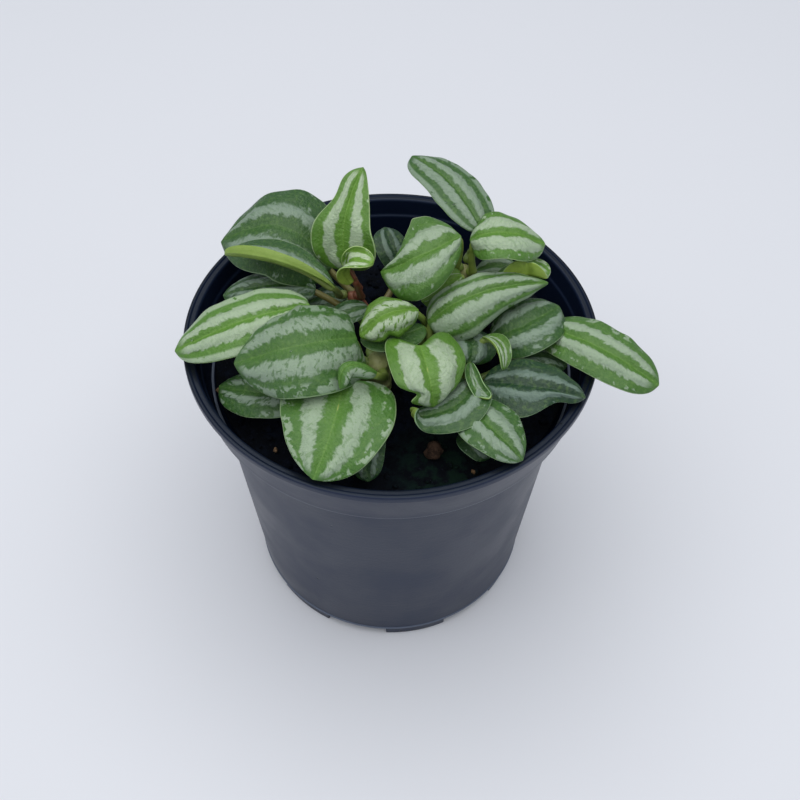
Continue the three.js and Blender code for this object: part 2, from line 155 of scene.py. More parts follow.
def tube(bm, points, radii, sides, materialIndex=0, hint=up):
    # a round bar through the points, drawn out ring by ring and closed at both ends
    count = len(points)
    directions = [points[min(i + 1, count - 1)] - points[max(i - 1, 0)] for i in range(count)]
    frames = [frameAlong(p, d.normalized(), hint) for p, d in zip(points, directions)]
    ring = bmesh.ops.create_circle(bm, cap_ends=True, segments=sides, radius=radii[0], matrix=frames[0])
    verts = ring["verts"]
    # kept in order, so that every run numbers the mesh alike
    faces = list(dict.fromkeys(f for v in verts for f in v.link_faces))
    around = (e for v in verts for e in v.link_edges if all(w in verts for w in e.verts))
    edges = list(dict.fromkeys(around))
    for f in faces:
        f.normal_flip()
    for i in range(1, count):
        drawn = bmesh.ops.extrude_edge_only(bm, edges=edges)["geom"]
        verts = [g for g in drawn if isinstance(g, bmesh.types.BMVert)]
        edges = [g for g in drawn if isinstance(g, bmesh.types.BMEdge)]
        faces += [g for g in drawn if isinstance(g, bmesh.types.BMFace)]
        grow = Matrix.Diagonal((radii[i] / radii[i - 1], radii[i] / radii[i - 1], 1, 1))
        step = frames[i] @ grow @ frames[i - 1].inverted()
        bmesh.ops.transform(bm, matrix=step, verts=verts)
    faces += bmesh.ops.contextual_create(bm, geom=edges)["faces"]
    bmesh.ops.recalc_face_normals(bm, faces=faces)
    for f in faces:
        f.material_index = materialIndex
    return faces


def curvePoint(points, s):
    # a quadratic curve through three points, with its direction
    start, middle, end = points
    control = middle * 2 - (start + end) / 2
    point = start * (1 - s) ** 2 + control * 2 * s * (1 - s) + end * s ** 2
    direction = ((control - start) * (1 - s) + (end - control) * s).normalized()
    return point, direction


def splinePoint(points, u):
    # Catmull-Rom through all the points, u from 0 to 1
    spans = len(points) - 1
    place = min(u * spans, spans - 1e-9)
    i = int(place)
    f = place - i
    b, c = points[i], points[i + 1]
    a = points[i - 1] if i else b * 2 - c
    d = points[i + 2] if i + 2 <= spans else c * 2 - b
    return (b * 2 + (c - a) * f + (a * 2 - b * 5 + c * 4 - d) * f ** 2
            + (b * 3 - a - c * 3 + d) * f ** 3) / 2


def clamp01(value):
    return min(max(value, 0.0), 1.0)


def roundedProfile(corners, steps=4):
    # each corner is (radius, height, rounding); rounded ones become short arcs
    out = []
    for i, (x, z, rounding) in enumerate(corners):
        here = Vector((x, z))
        if not rounding:
            out.append(here)
            continue
        before = Vector(corners[i - 1][:2])
        after = Vector(corners[i + 1][:2])
        a = here + (before - here).normalized() * min(rounding, (before - here).length * 0.45)
        b = here + (after - here).normalized() * min(rounding, (after - here).length * 0.45)
        for k in range(steps + 1):
            f = k / steps
            out.append(a * (1 - f) ** 2 + here * 2 * f * (1 - f) + b * f ** 2)
    return out


def spun(profile, steps):
    bm = bmesh.new()
    verts = [bm.verts.new((p.x * mm, 0, p.y * mm)) for p in profile]
    edges = [bm.edges.new(pair) for pair in zip(verts, verts[1:])]
    bmesh.ops.spin(bm, geom=verts + edges, cent=(0, 0, 0), axis=(0, 0, 1), angle=2 * math.pi,
                   steps=steps, use_merge=True, use_normal_flip=False, use_duplicate=False)
    bmesh.ops.remove_doubles(bm, verts=bm.verts, dist=1e-6)
    bmesh.ops.recalc_face_normals(bm, faces=bm.faces)
    return bm


# pot
pot = dict(
    rim=52.0, height=90.0, lip=2.6, lipSink=0.3, lipEdge=1.15, band=2.0, innerStep=5.2,
    bodyTop=45.5, bodyBase=39.8, collar=13.4, collarBase=48.9, wall=1.2, floor=2.4, plate=1.4,
    plateInner=32.0, plateStep=0.6, floorFillet=1.6, footHeight=3.6, footInset=0.4, bead=0.35,
    feet=7, footGap=26.0, firstGap=-104.5, gapDepth=6.0, gapReach=3.0, gapClearance=0.1,
    gapSteps=12, slotWidth=3.6, slotLength=6.0, slotHeight=14.0, steps=224, sharpAngle=50,
    # pale is a painted highlight on two edges of the pot; the inner and lip colours are darker copies of
    # the same plastic, painted shade
    color="#161c2e", shadedInnerColor="#081226", shadedLipColor="#12161d", pale="#6d7686",
    dust="#9aa3ad", pit="#05070c", tint="#c9dcff", wear=1.35, paintedHighlightEdges=(4.3, 76.7),
    roughness=0.4, innerRoughness=0.55, shine=0.58, innerShine=0.25, lipShine=0.42,
)


def plasticMaterial(name, paint, roughness, shine, paintedHighlightEdges=()):
    material, tree, shader = newMaterial(name, Specular_Tint=hexColor(pot["tint"]),
                                         Specular_IOR_Level=shine)
    place = objectPlace(tree)
    level = add(tree, "SeparateXYZ", {0: place}).outputs[2]
    broad = noiseValue(tree, place, 45, 4, 0.55)
    grain = noiseValue(tree, place, 1400, 2)
    # thin scratches run round the wall
    streakPlace = add(tree, "Mapping", {"Vector": place, "Scale": (60, 60, 1500)}).outputs[0]
    streaks = noiseValue(tree, streakPlace, 1.0, 3, 0.6)
    dark = hexColor(paint)
    worn = tuple(c * pot["wear"] for c in dark[:3]) + (1,)
    color = mixed(tree, soft(tree, broad, 0.4, 0.72), dark, worn)
    # pale specks of dust, most of them on the rim and the collar
    cells = add(tree, "TexVoronoi", {"Vector": place, "Scale": 330.0, "Randomness": 1.0})
    speck = soft(tree, cells.outputs["Distance"], 0.13, 0.07)
    high = soft(tree, level, 0.078, 0.088, 0.0, 0.05)
    draw = add(tree, "SeparateColor", {0: cells.outputs["Color"]})
    chosen = soft(tree, plus(tree, draw.outputs[0], high), 0.985, 0.99)
    color = mixed(tree, times(tree, speck, chosen), color, pot["dust"])
    # and small dark pits
    pitted = soft(tree, plus(tree, draw.outputs[1], times(tree, high, 1.6)), 0.97, 0.98)
    pits = times(tree, soft(tree, cells.outputs["Distance"], 0.2, 0.1), pitted)
    color = mixed(tree, pits, color, pot["pit"])
    # painted highlight: the collar's lower edge and the bead above the feet are painted pale, for the
    # light line that they catch
    for edge in paintedHighlightEdges:
        away = maths(tree, "ABSOLUTE", minus(tree, level, edge * mm))
        color = mixed(tree, soft(tree, away, 0.0006, 0.0002, 0.0, 0.7), color, pot["pale"])
    fill(tree, shader, {"Base Color": color})
    rough = times(tree, soft(tree, broad, 0.35, 0.7), 0.12)
    fill(tree, shader, {"Roughness": plus(tree, rough, roughness - 0.06)})
    height = plus(tree, times(tree, streaks, 0.5), times(tree, grain, 0.5))
    height = minus(tree, height, times(tree, pits, 2.0))
    bumped(tree, shader, height, 0.00005)
    return material


def potProfile():
    # up the outside from the middle of the bottom, over the lip and down the inside
    rim, top, wall = pot["rim"], pot["height"], pot["wall"]
    base, bead = pot["bodyBase"], pot["bead"]
    lipInner = rim - pot["lip"]
    collarBase = top - pot["collar"]
    foot = base - pot["footInset"]
    under = pot["footHeight"]
    floor = under + pot["plate"]
    return roundedProfile([
        (0, 0, 0),
        (foot, 0, 0.5),
        (foot, under, 0.2),
        (base + bead, under + 0.4, 0.2),
        (base + bead, under + 0.7, 0.2),
        (base + 0.1, under + 1.1, 0.3),
        (pot["bodyTop"], collarBase - 0.1, 0.9),
        (pot["collarBase"] - 0.1, collarBase, 0.6),
        (pot["collarBase"] + 0.25, collarBase + 2.2, 1.0),
        (rim - 0.6, top - pot["band"] - 0.4, 0.5),
        (rim - 0.05, top - pot["band"], 0.4),
        (rim, top, 0.8),
        (rim - pot["lipEdge"] + 0.2, top, 0.25),
        (rim - pot["lipEdge"], top - pot["lipSink"], 0.2),
        (lipInner, top - pot["lipSink"], 0.7),
        (lipInner - 0.8, top - pot["innerStep"] + 0.4, 0.5),
        (lipInner - 1.4, top - pot["innerStep"], 0.5),
        (pot["collarBase"] - wall - 0.8, collarBase, 0.6),
        (pot["bodyTop"] - wall, collarBase - wall, 0.6),
        (base - wall, floor + pot["floorFillet"], 1.2),
        (base - 2 * wall, floor, 1.0),
        (pot["plateInner"] + pot["plateStep"], floor, 0.4),
        (pot["plateInner"], pot["floor"], 0.4),
        (0, pot["floor"], 0),
    ])


def cutFeet(piece):
    # gaps between the feet and a drain slot at each gap, cut with one joined cutter
    bm = bmesh.new()
    half = math.radians(pot["footGap"] / 2)
    inner = (pot["bodyBase"] - pot["footInset"] - pot["gapDepth"]) * mm
    outer = (pot["bodyBase"] + pot["gapReach"]) * mm
    top = (pot["footHeight"] - pot["gapClearance"]) * mm
    for k in range(pot["feet"]):
        middle = math.radians(pot["firstGap"] + k * 360 / pot["feet"])
        corners = [(inner, -mm), (outer, -mm), (outer, top), (inner, top)]
        verts = [bm.verts.new((r, 0, z)) for r, z in corners]
        face = bm.faces.new(verts)
        bmesh.ops.rotate(bm, verts=verts, cent=(0, 0, 0), matrix=Matrix.Rotation(middle - half, 3, "Z"))
        bmesh.ops.spin(bm, geom=[face], cent=(0, 0, 0), axis=(0, 0, 1), angle=2 * half,
                       steps=pot["gapSteps"], use_merge=False, use_normal_flip=False,
                       use_duplicate=False)
        slotPlace = Matrix.Rotation(middle, 4, "Z") @ Matrix.Translation((inner, 0, 0))
        size = Matrix.Diagonal((pot["slotLength"], pot["slotWidth"], pot["slotHeight"])) * mm
        bmesh.ops.create_cube(bm, size=1, matrix=slotPlace @ size.to_4x4())
    bmesh.ops.recalc_face_normals(bm, faces=bm.faces)
    mesh = bpy.data.meshes.new("cutter")
    bm.to_mesh(mesh)
    bm.free()
    cutter = bpy.data.objects.new("cutter", mesh)
    bpy.context.scene.collection.objects.link(cutter)
    cut = piece.modifiers.new("feet", "BOOLEAN")
    cut.object = cutter
    cut.operation = "DIFFERENCE"
    cut.solver = "EXACT"
    cut.use_self = True
    graph = bpy.context.evaluated_depsgraph_get()
    made = bpy.data.meshes.new_from_object(piece.evaluated_get(graph))
    piece.modifiers.clear()
    piece.data = made
    bpy.data.objects.remove(cutter)


def makePot():
    bm = spun(potProfile(), pot["steps"])
    skins = [
        plasticMaterial("pot_plastic", pot["color"], pot["roughness"], pot["shine"], pot["paintedHighlightEdges"]),
        # painted shade: the inside is the same plastic, painted darker and bluer for the shade in the pot
        plasticMaterial("pot_inside_painted_shade", pot["shadedInnerColor"], pot["innerRoughness"], pot["innerShine"]),
        # painted shade: the lip's top is the same plastic, painted darker
        plasticMaterial("pot_lip_painted_shade", pot["shadedLipColor"], pot["roughness"], pot["lipShine"]),
    ]
    piece = finishPiece(bm, "pot_shell", skins, ["pot"], smooth=0)
    cutFeet(piece)
    floor = (pot["footHeight"] + pot["plate"]) * mm
    lipFrom = (pot["height"] - 1) * mm
    for polygon in piece.data.polygons:
        polygon.use_smooth = True
        middle, normal = polygon.center, polygon.normal
        # faces inside the pot and the lip's top get the painted-shade copies of the plastic
        inside = normal.xy.dot(middle.xy) < -0.2 * middle.xy.length and middle.z > floor
        lip = normal.z > 0.7 and middle.z > lipFrom
        polygon.material_index = 1 if inside else 2 if lip else 0
    piece.data.set_sharp_from_angle(angle=math.radians(pot["sharpAngle"]))
    print("pot done")


# soil
soil = dict(
    top=79.0, radius=45.4, neck=44.2, neckHeight=74.0, baseRadius=38.2, floorRadius=37.0, gap=0.5,
    steps=200, rings=54, settled=0.2, rough=0.75, edgeWidth=3.0, edgeShare=0.35,
    lumps=((7.0, (0, 0, 0), 0.9), (2.6, (5, 3, 1), 1.1), (1.1, (1, 9, 4), 0.35)),
    clods=420, clodMargin=1.5, clodSize=(0.35, 1.15), clodStretch=(0.8, 1.9), clodFlat=0.7,
    clodRaised=0.25, clodLumpSize=0.6, clodLumps=0.3, clodSeed=11,
    darkPeatInBlueShade="#03070f", peat="#0b1322", fibreInBlueShade="#262a38", algae="#0c2018",
    algaePlace=(-0.012, 0.036, -0.079),
)


def soilMaterial():
    material, tree, shader = newMaterial("peat", Roughness=0.95, Specular_IOR_Level=0.15)
    place = objectPlace(tree)
    coarse = noiseValue(tree, place, 260, 6, 0.65)
    fibres = noiseValue(tree, place, 1500, 4, 0.6)
    # dark peat and fibre, tinted navy: the blue of the shade is painted into them
    color = mixed(tree, soft(tree, coarse, 0.42, 0.7), soil["darkPeatInBlueShade"], soil["peat"])
    color = mixed(tree, soft(tree, fibres, 0.62, 0.75), color, soil["fibreInBlueShade"])
    # a film of green algae near the front
    damp = add(tree, "Mapping", {"Vector": place, "Location": soil["algaePlace"]}).outputs[0]
    reach = add(tree, "VectorMath", {0: damp}, operation="LENGTH").outputs["Value"]
    patch = times(tree, soft(tree, reach, 0.017, 0.004), soft(tree, coarse, 0.4, 0.6))
    color = mixed(tree, patch, color, soil["algae"])
    fill(tree, shader, {"Base Color": color})
    height = plus(tree, coarse, times(tree, fibres, 0.35))
    bumped(tree, shader, height, 0.0006)
    return material


def soilHeight(x, y):
    # broad lumps, sharp-edged clods and fine grain, flatter towards the wall
    flat = Vector((x, y, 0))
    broad, clod, grain = [noise.noise(flat / (size * mm) + Vector(shift)) * rise
                          for size, shift, rise in soil["lumps"]]
    lump = broad + abs(clod) + grain
    edge = clamp01((soil["radius"] * mm - flat.length) / (soil["edgeWidth"] * mm))
    share = soil["edgeShare"] + (1 - soil["edgeShare"]) * edge
    return (soil["top"] - soil["settled"] + lump * soil["rough"] * share) * mm


def makeSoil():
    top = [Vector((soil["radius"] * k / soil["rings"], soil["top"])) for k in range(soil["rings"] + 1)]
    floor = pot["footHeight"] + pot["plate"] + soil["gap"]
    side = [(soil["neck"], soil["neckHeight"]), (soil["baseRadius"], floor + pot["floorFillet"])]
    bottom = [(soil["floorRadius"], floor), (0, floor)]
    bm = spun(top + [Vector(p) for p in side + bottom], soil["steps"])
    for v in bm.verts:
        if v.co.z > (soil["top"] - 1) * mm:
            v.co.z = soilHeight(v.co.x, v.co.y)
    material = soilMaterial()
    finishPiece(bm, "potting_soil", [material], ["soil"], smooth=0)
    # loose clods lie over it
    random.seed(soil["clodSeed"])
    bm = bmesh.new()
    for _ in range(soil["clods"]):
        reach = (soil["radius"] - soil["clodMargin"]) * mm * math.sqrt(random.random())
        angle = random.uniform(0, 2 * math.pi)
        x, y = reach * math.cos(angle), reach * math.sin(angle)
        size = random.uniform(*soil["clodSize"]) * mm
        turn = Matrix.Rotation(random.uniform(0, 6.28), 4, Vector((random.random(), random.random(), 1)))
        length = size * random.uniform(*soil["clodStretch"])
        shape = Matrix.Diagonal((length, size, size * soil["clodFlat"], 1))
        spot = Matrix.Translation((x, y, soilHeight(x, y) + size * soil["clodRaised"]))
        made = bmesh.ops.create_icosphere(bm, subdivisions=1, radius=1, matrix=spot @ turn @ shape)
        for v in made["verts"]:
            v.co += noise.noise_vector(v.co / (soil["clodLumpSize"] * mm)) * size * soil["clodLumps"]
    finishPiece(bm, "soil_clods", [material], smooth=0)
    print("soil done")


# crumbs of bark and pumice, each inside the box of its CAD node
crumbs = dict(
    bark_crumb_left="#8a7558", bark_crumb_left_low="#6e4c33", pumice_crumb_front_left="#a8896a",
    bark_piece_front="#4c3a2f", bark_crumb_front_right="#7a6046", bark_crumb_back="#5a4030",
)
crumbShape = dict(
    fill=0.92, tall=1.15, raised=0.2, chipSize=0.55, chips=0.12, lumpSize=0.6, lumps=0.4, shrink=0.1,
    smoothing=0.3, darker=0.3, paler=1.7, seed=5,
)


def crumbMaterial(name, color):
    material, tree, shader = newMaterial(name, Roughness=0.9, Specular_IOR_Level=0.2)
    place = objectPlace(tree)
    layers = noiseValue(tree, place, 700, 5, 0.65)
    pits = noiseValue(tree, place, 2200, 3, 0.6)
    base = hexColor(color)
    dark = tuple(c * crumbShape["darker"] for c in base[:3]) + (1,)
    pale = tuple(min(c * crumbShape["paler"], 1) for c in base[:3]) + (1,)
    shade = mixed(tree, soft(tree, layers, 0.35, 0.65), dark, base)
    shade = mixed(tree, soft(tree, pits, 0.58, 0.72), shade, pale)
    fill(tree, shader, {"Base Color": shade})
    bumped(tree, shader, plus(tree, layers, pits), 0.0003)
    return material


def makeCrumbs():
    random.seed(crumbShape["seed"])
    for name, color in crumbs.items():
        low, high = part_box(name)
        middle = (low + high) / 2
        ground = soilHeight(middle.x, middle.y)
        middle.z = max(middle.z, ground + (high.z - low.z) * crumbShape["raised"])
        half = (high - low) / 2
        bm = bmesh.new()
        shape = Matrix.Diagonal((half.x * crumbShape["fill"], half.y * crumbShape["fill"],
                                 half.z * crumbShape["tall"], 1))
        bmesh.ops.create_icosphere(bm, subdivisions=4, radius=1, matrix=shape)
        offset = Vector([random.uniform(0, 50) for _ in range(3)])
        for v in bm.verts:
            chips = noise.cell(v.co / (half.length * crumbShape["chipSize"]) + offset)
            lumps = noise.noise(v.co / (half.length * crumbShape["lumpSize"]) + offset)
            v.co *= 1 + lumps * crumbShape["lumps"] + chips * crumbShape["chips"] - crumbShape["shrink"]
            v.co += middle
        bmesh.ops.smooth_vert(bm, verts=bm.verts, factor=crumbShape["smoothing"],
                              use_axis_x=True, use_axis_y=True, use_axis_z=True)
        material = crumbMaterial(name + "_grain", color)
        finishPiece(bm, name + "_rough", [material], [name], smooth=0)
    print("crumbs done")


# stems, along the same paths as the CAD stems, in millimetres
stems = dict(
    stem_main=dict(radius=2.9, path=[(-3, -10.5, 79.8), (-3.1, -11, 84), (-3.3, -13.5, 93)], red=0.0),
    stem_left=dict(radius=1.7, path=[(-4, 6, 79.8), (-6.5, 7.5, 87), (-11, 9.5, 92.5)], red=1.0),
    stem_tall=dict(radius=2.1, path=[(14, 7, 79.8), (17, 10, 91), (18.5, 12, 100)], red=0.1),
    stem_right=dict(radius=1.8, path=[(11, -3, 79.8), (10.5, -4, 86), (9.5, -4.5, 92)], red=0.2),
    stem_front=dict(radius=1.8, path=[(13, -16, 79.8), (14, -17, 84), (14.3, -17.3, 88)], red=0.1),
)
stemShape = dict(
    buried=1.8, rings=26, sides=20, swell=0.07, swellRate=17, flare=0.12, cap=0.08, blunt=0.12,
    knobble=0.12, knobbleSize=2.5,
)
stalk = dict(
    radius=1.1, clearance=0.35, reach=0.075, drop=0.7, rooted=0.3, sides=12, rings=12, rootSize=1.25,
    startSize=1.12, waist=0.22, taper=0.3, midribRings=14, midribEnd=0.92, midribCrowd=1.3,
    midribLeast=0.25, midribMore=0.6, midribSunk=0.15,
)
stalkFlesh = (0.001, 0.001, 0.0005)
leafFlesh = (0.0008, 0.0012, 0.0004)


def stemMaterial(name, red):
    material, tree, shader = newMaterial(name, Roughness=0.45, Subsurface_Weight=0.1,
                                         Subsurface_Radius=stalkFlesh)
    place = objectPlace(tree)
    long = add(tree, "Mapping", {"Vector": place, "Scale": (900, 900, 120)}).outputs[0]
    streaks = noiseValue(tree, long, 1.0, 4, 0.6)
    blotch = noiseValue(tree, place, 330, 3)
    green = mixed(tree, soft(tree, blotch, 0.35, 0.65), "#9fa867", "#c2c68a")
    ruddy = mixed(tree, soft(tree, blotch, 0.35, 0.65), "#6d3f2c", "#95614a")
    color = mixed(tree, red, green, ruddy)
    streaked = times(tree, soft(tree, streaks, 0.55, 0.75), 0.45)
    color = mixed(tree, streaked, color, "#5d6b34" if red < 0.5 else "#4c261c")
    fill(tree, shader, {"Base Color": color})
    bumped(tree, shader, streaks, 0.00015)
    return material


def makeStems():
    for name, stem in stems.items():
        points = [Vector(p) * mm for p in stem["path"]]
        rings = stemShape["rings"]
        low = points[0] - up * stemShape["buried"] * mm
        line = [low] + [splinePoint(points, k / rings) for k in range(rings + 1)]
        radii = []
        for k in range(len(line)):
            f = k / (len(line) - 1)
            # slight swellings where leaves have grown, and a rounded top
            swell = stemShape["swell"] * math.sin(f * stemShape["swellRate"] + stem["radius"])
            flare = stemShape["flare"] * (1 - f) ** 3
            cap = math.sqrt(min((1.0 - f) / stemShape["cap"], 1))
            radii.append(stem["radius"] * mm * (1 + swell + flare) * max(cap, stemShape["blunt"]))
        bm = bmesh.new()
        tube(bm, line, radii, stemShape["sides"], hint=Vector((1, 0, 0)))
        for v in bm.verts:
            v.co += noise.noise_vector(v.co / (stemShape["knobbleSize"] * mm)) * stemShape["knobble"] * mm
        finishPiece(bm, name + "_skin", [stemMaterial(name + "_skin", stem["red"])], [name])
    print("stems done")


# leaves
# A row gives the stem, the height and the direction that the stalk leaves it at, the
# midrib and the outline in millimetres, and how the blade rolls, cups and curls. The
# rows follow the CAD leaves, though several differ in width, cup or fold, and seven
# leaves sit up to 7 mm away from theirs. The look values are dark, lime, the inner
# and outer edge of the silver band, silver near the margin, and patchiness; dark is
# partly the leaf's own deeper green and partly painted shade, set high on the leaves
# that sit in shade. A leftSide or rightSide changes one half: its width, its outline,
# a notch in it, and a fold given as (place from midrib to margin, angle) pairs over
# part of the length.
leafDefaults = dict(
    widest=0.46, blunt=0.5, tipFall=2.5, tipBlunt=0.46, roll=0, cup=0, lobes=0.3, curlLeft=0,
    curlRight=0, tipCurl=0, tipFrom=0.8, dark=0.5, lime=0, inner=0.2, outer=0.5, edge=0.1,
    patch=0.4, redStalk=0,
)
sideDefaults = dict(scale=1, notch=0, notchAt=0.8, notchWidth=0.06, fold=(), foldFrom=0, foldTo=1)
leafShape = dict(
    across=24, along=34, foldAcross=20, curlAcross=6, smallWidth=9.5, smallAcross=8, smallAlong=10,
    crowded=0.2, thickness=1.15, marginThickness=0.42, fullWidth=13, thinnest=0.55, faceRise=0.55,
    slopeSteps=10, foldSteps=24, curlStart=0.35, curlFade=0.6, curlGrowth=1.5, foldFade=0.16,
    wander=0.09, wanderRate=2.6, wanderRows=(3.1, 8.7), seedStep=1.37, spanSize=10, spanStep=1.7,
)
relief = dict(
    groove=0.5, grooveWidth=0.07, vein=0.35, quilt=0.55, quiltWidth=0.2, fullWidth=16, endFade=0.12,
    waveSize=5, wave=0.45, waveRatio=2.7, smallWave=0.2, waveFullWidth=14, waveMost=1.2,
    ripple=0.64, rippleSize=4.2, rippleRow=3, rippleGap=7, underShare=0.75,
)
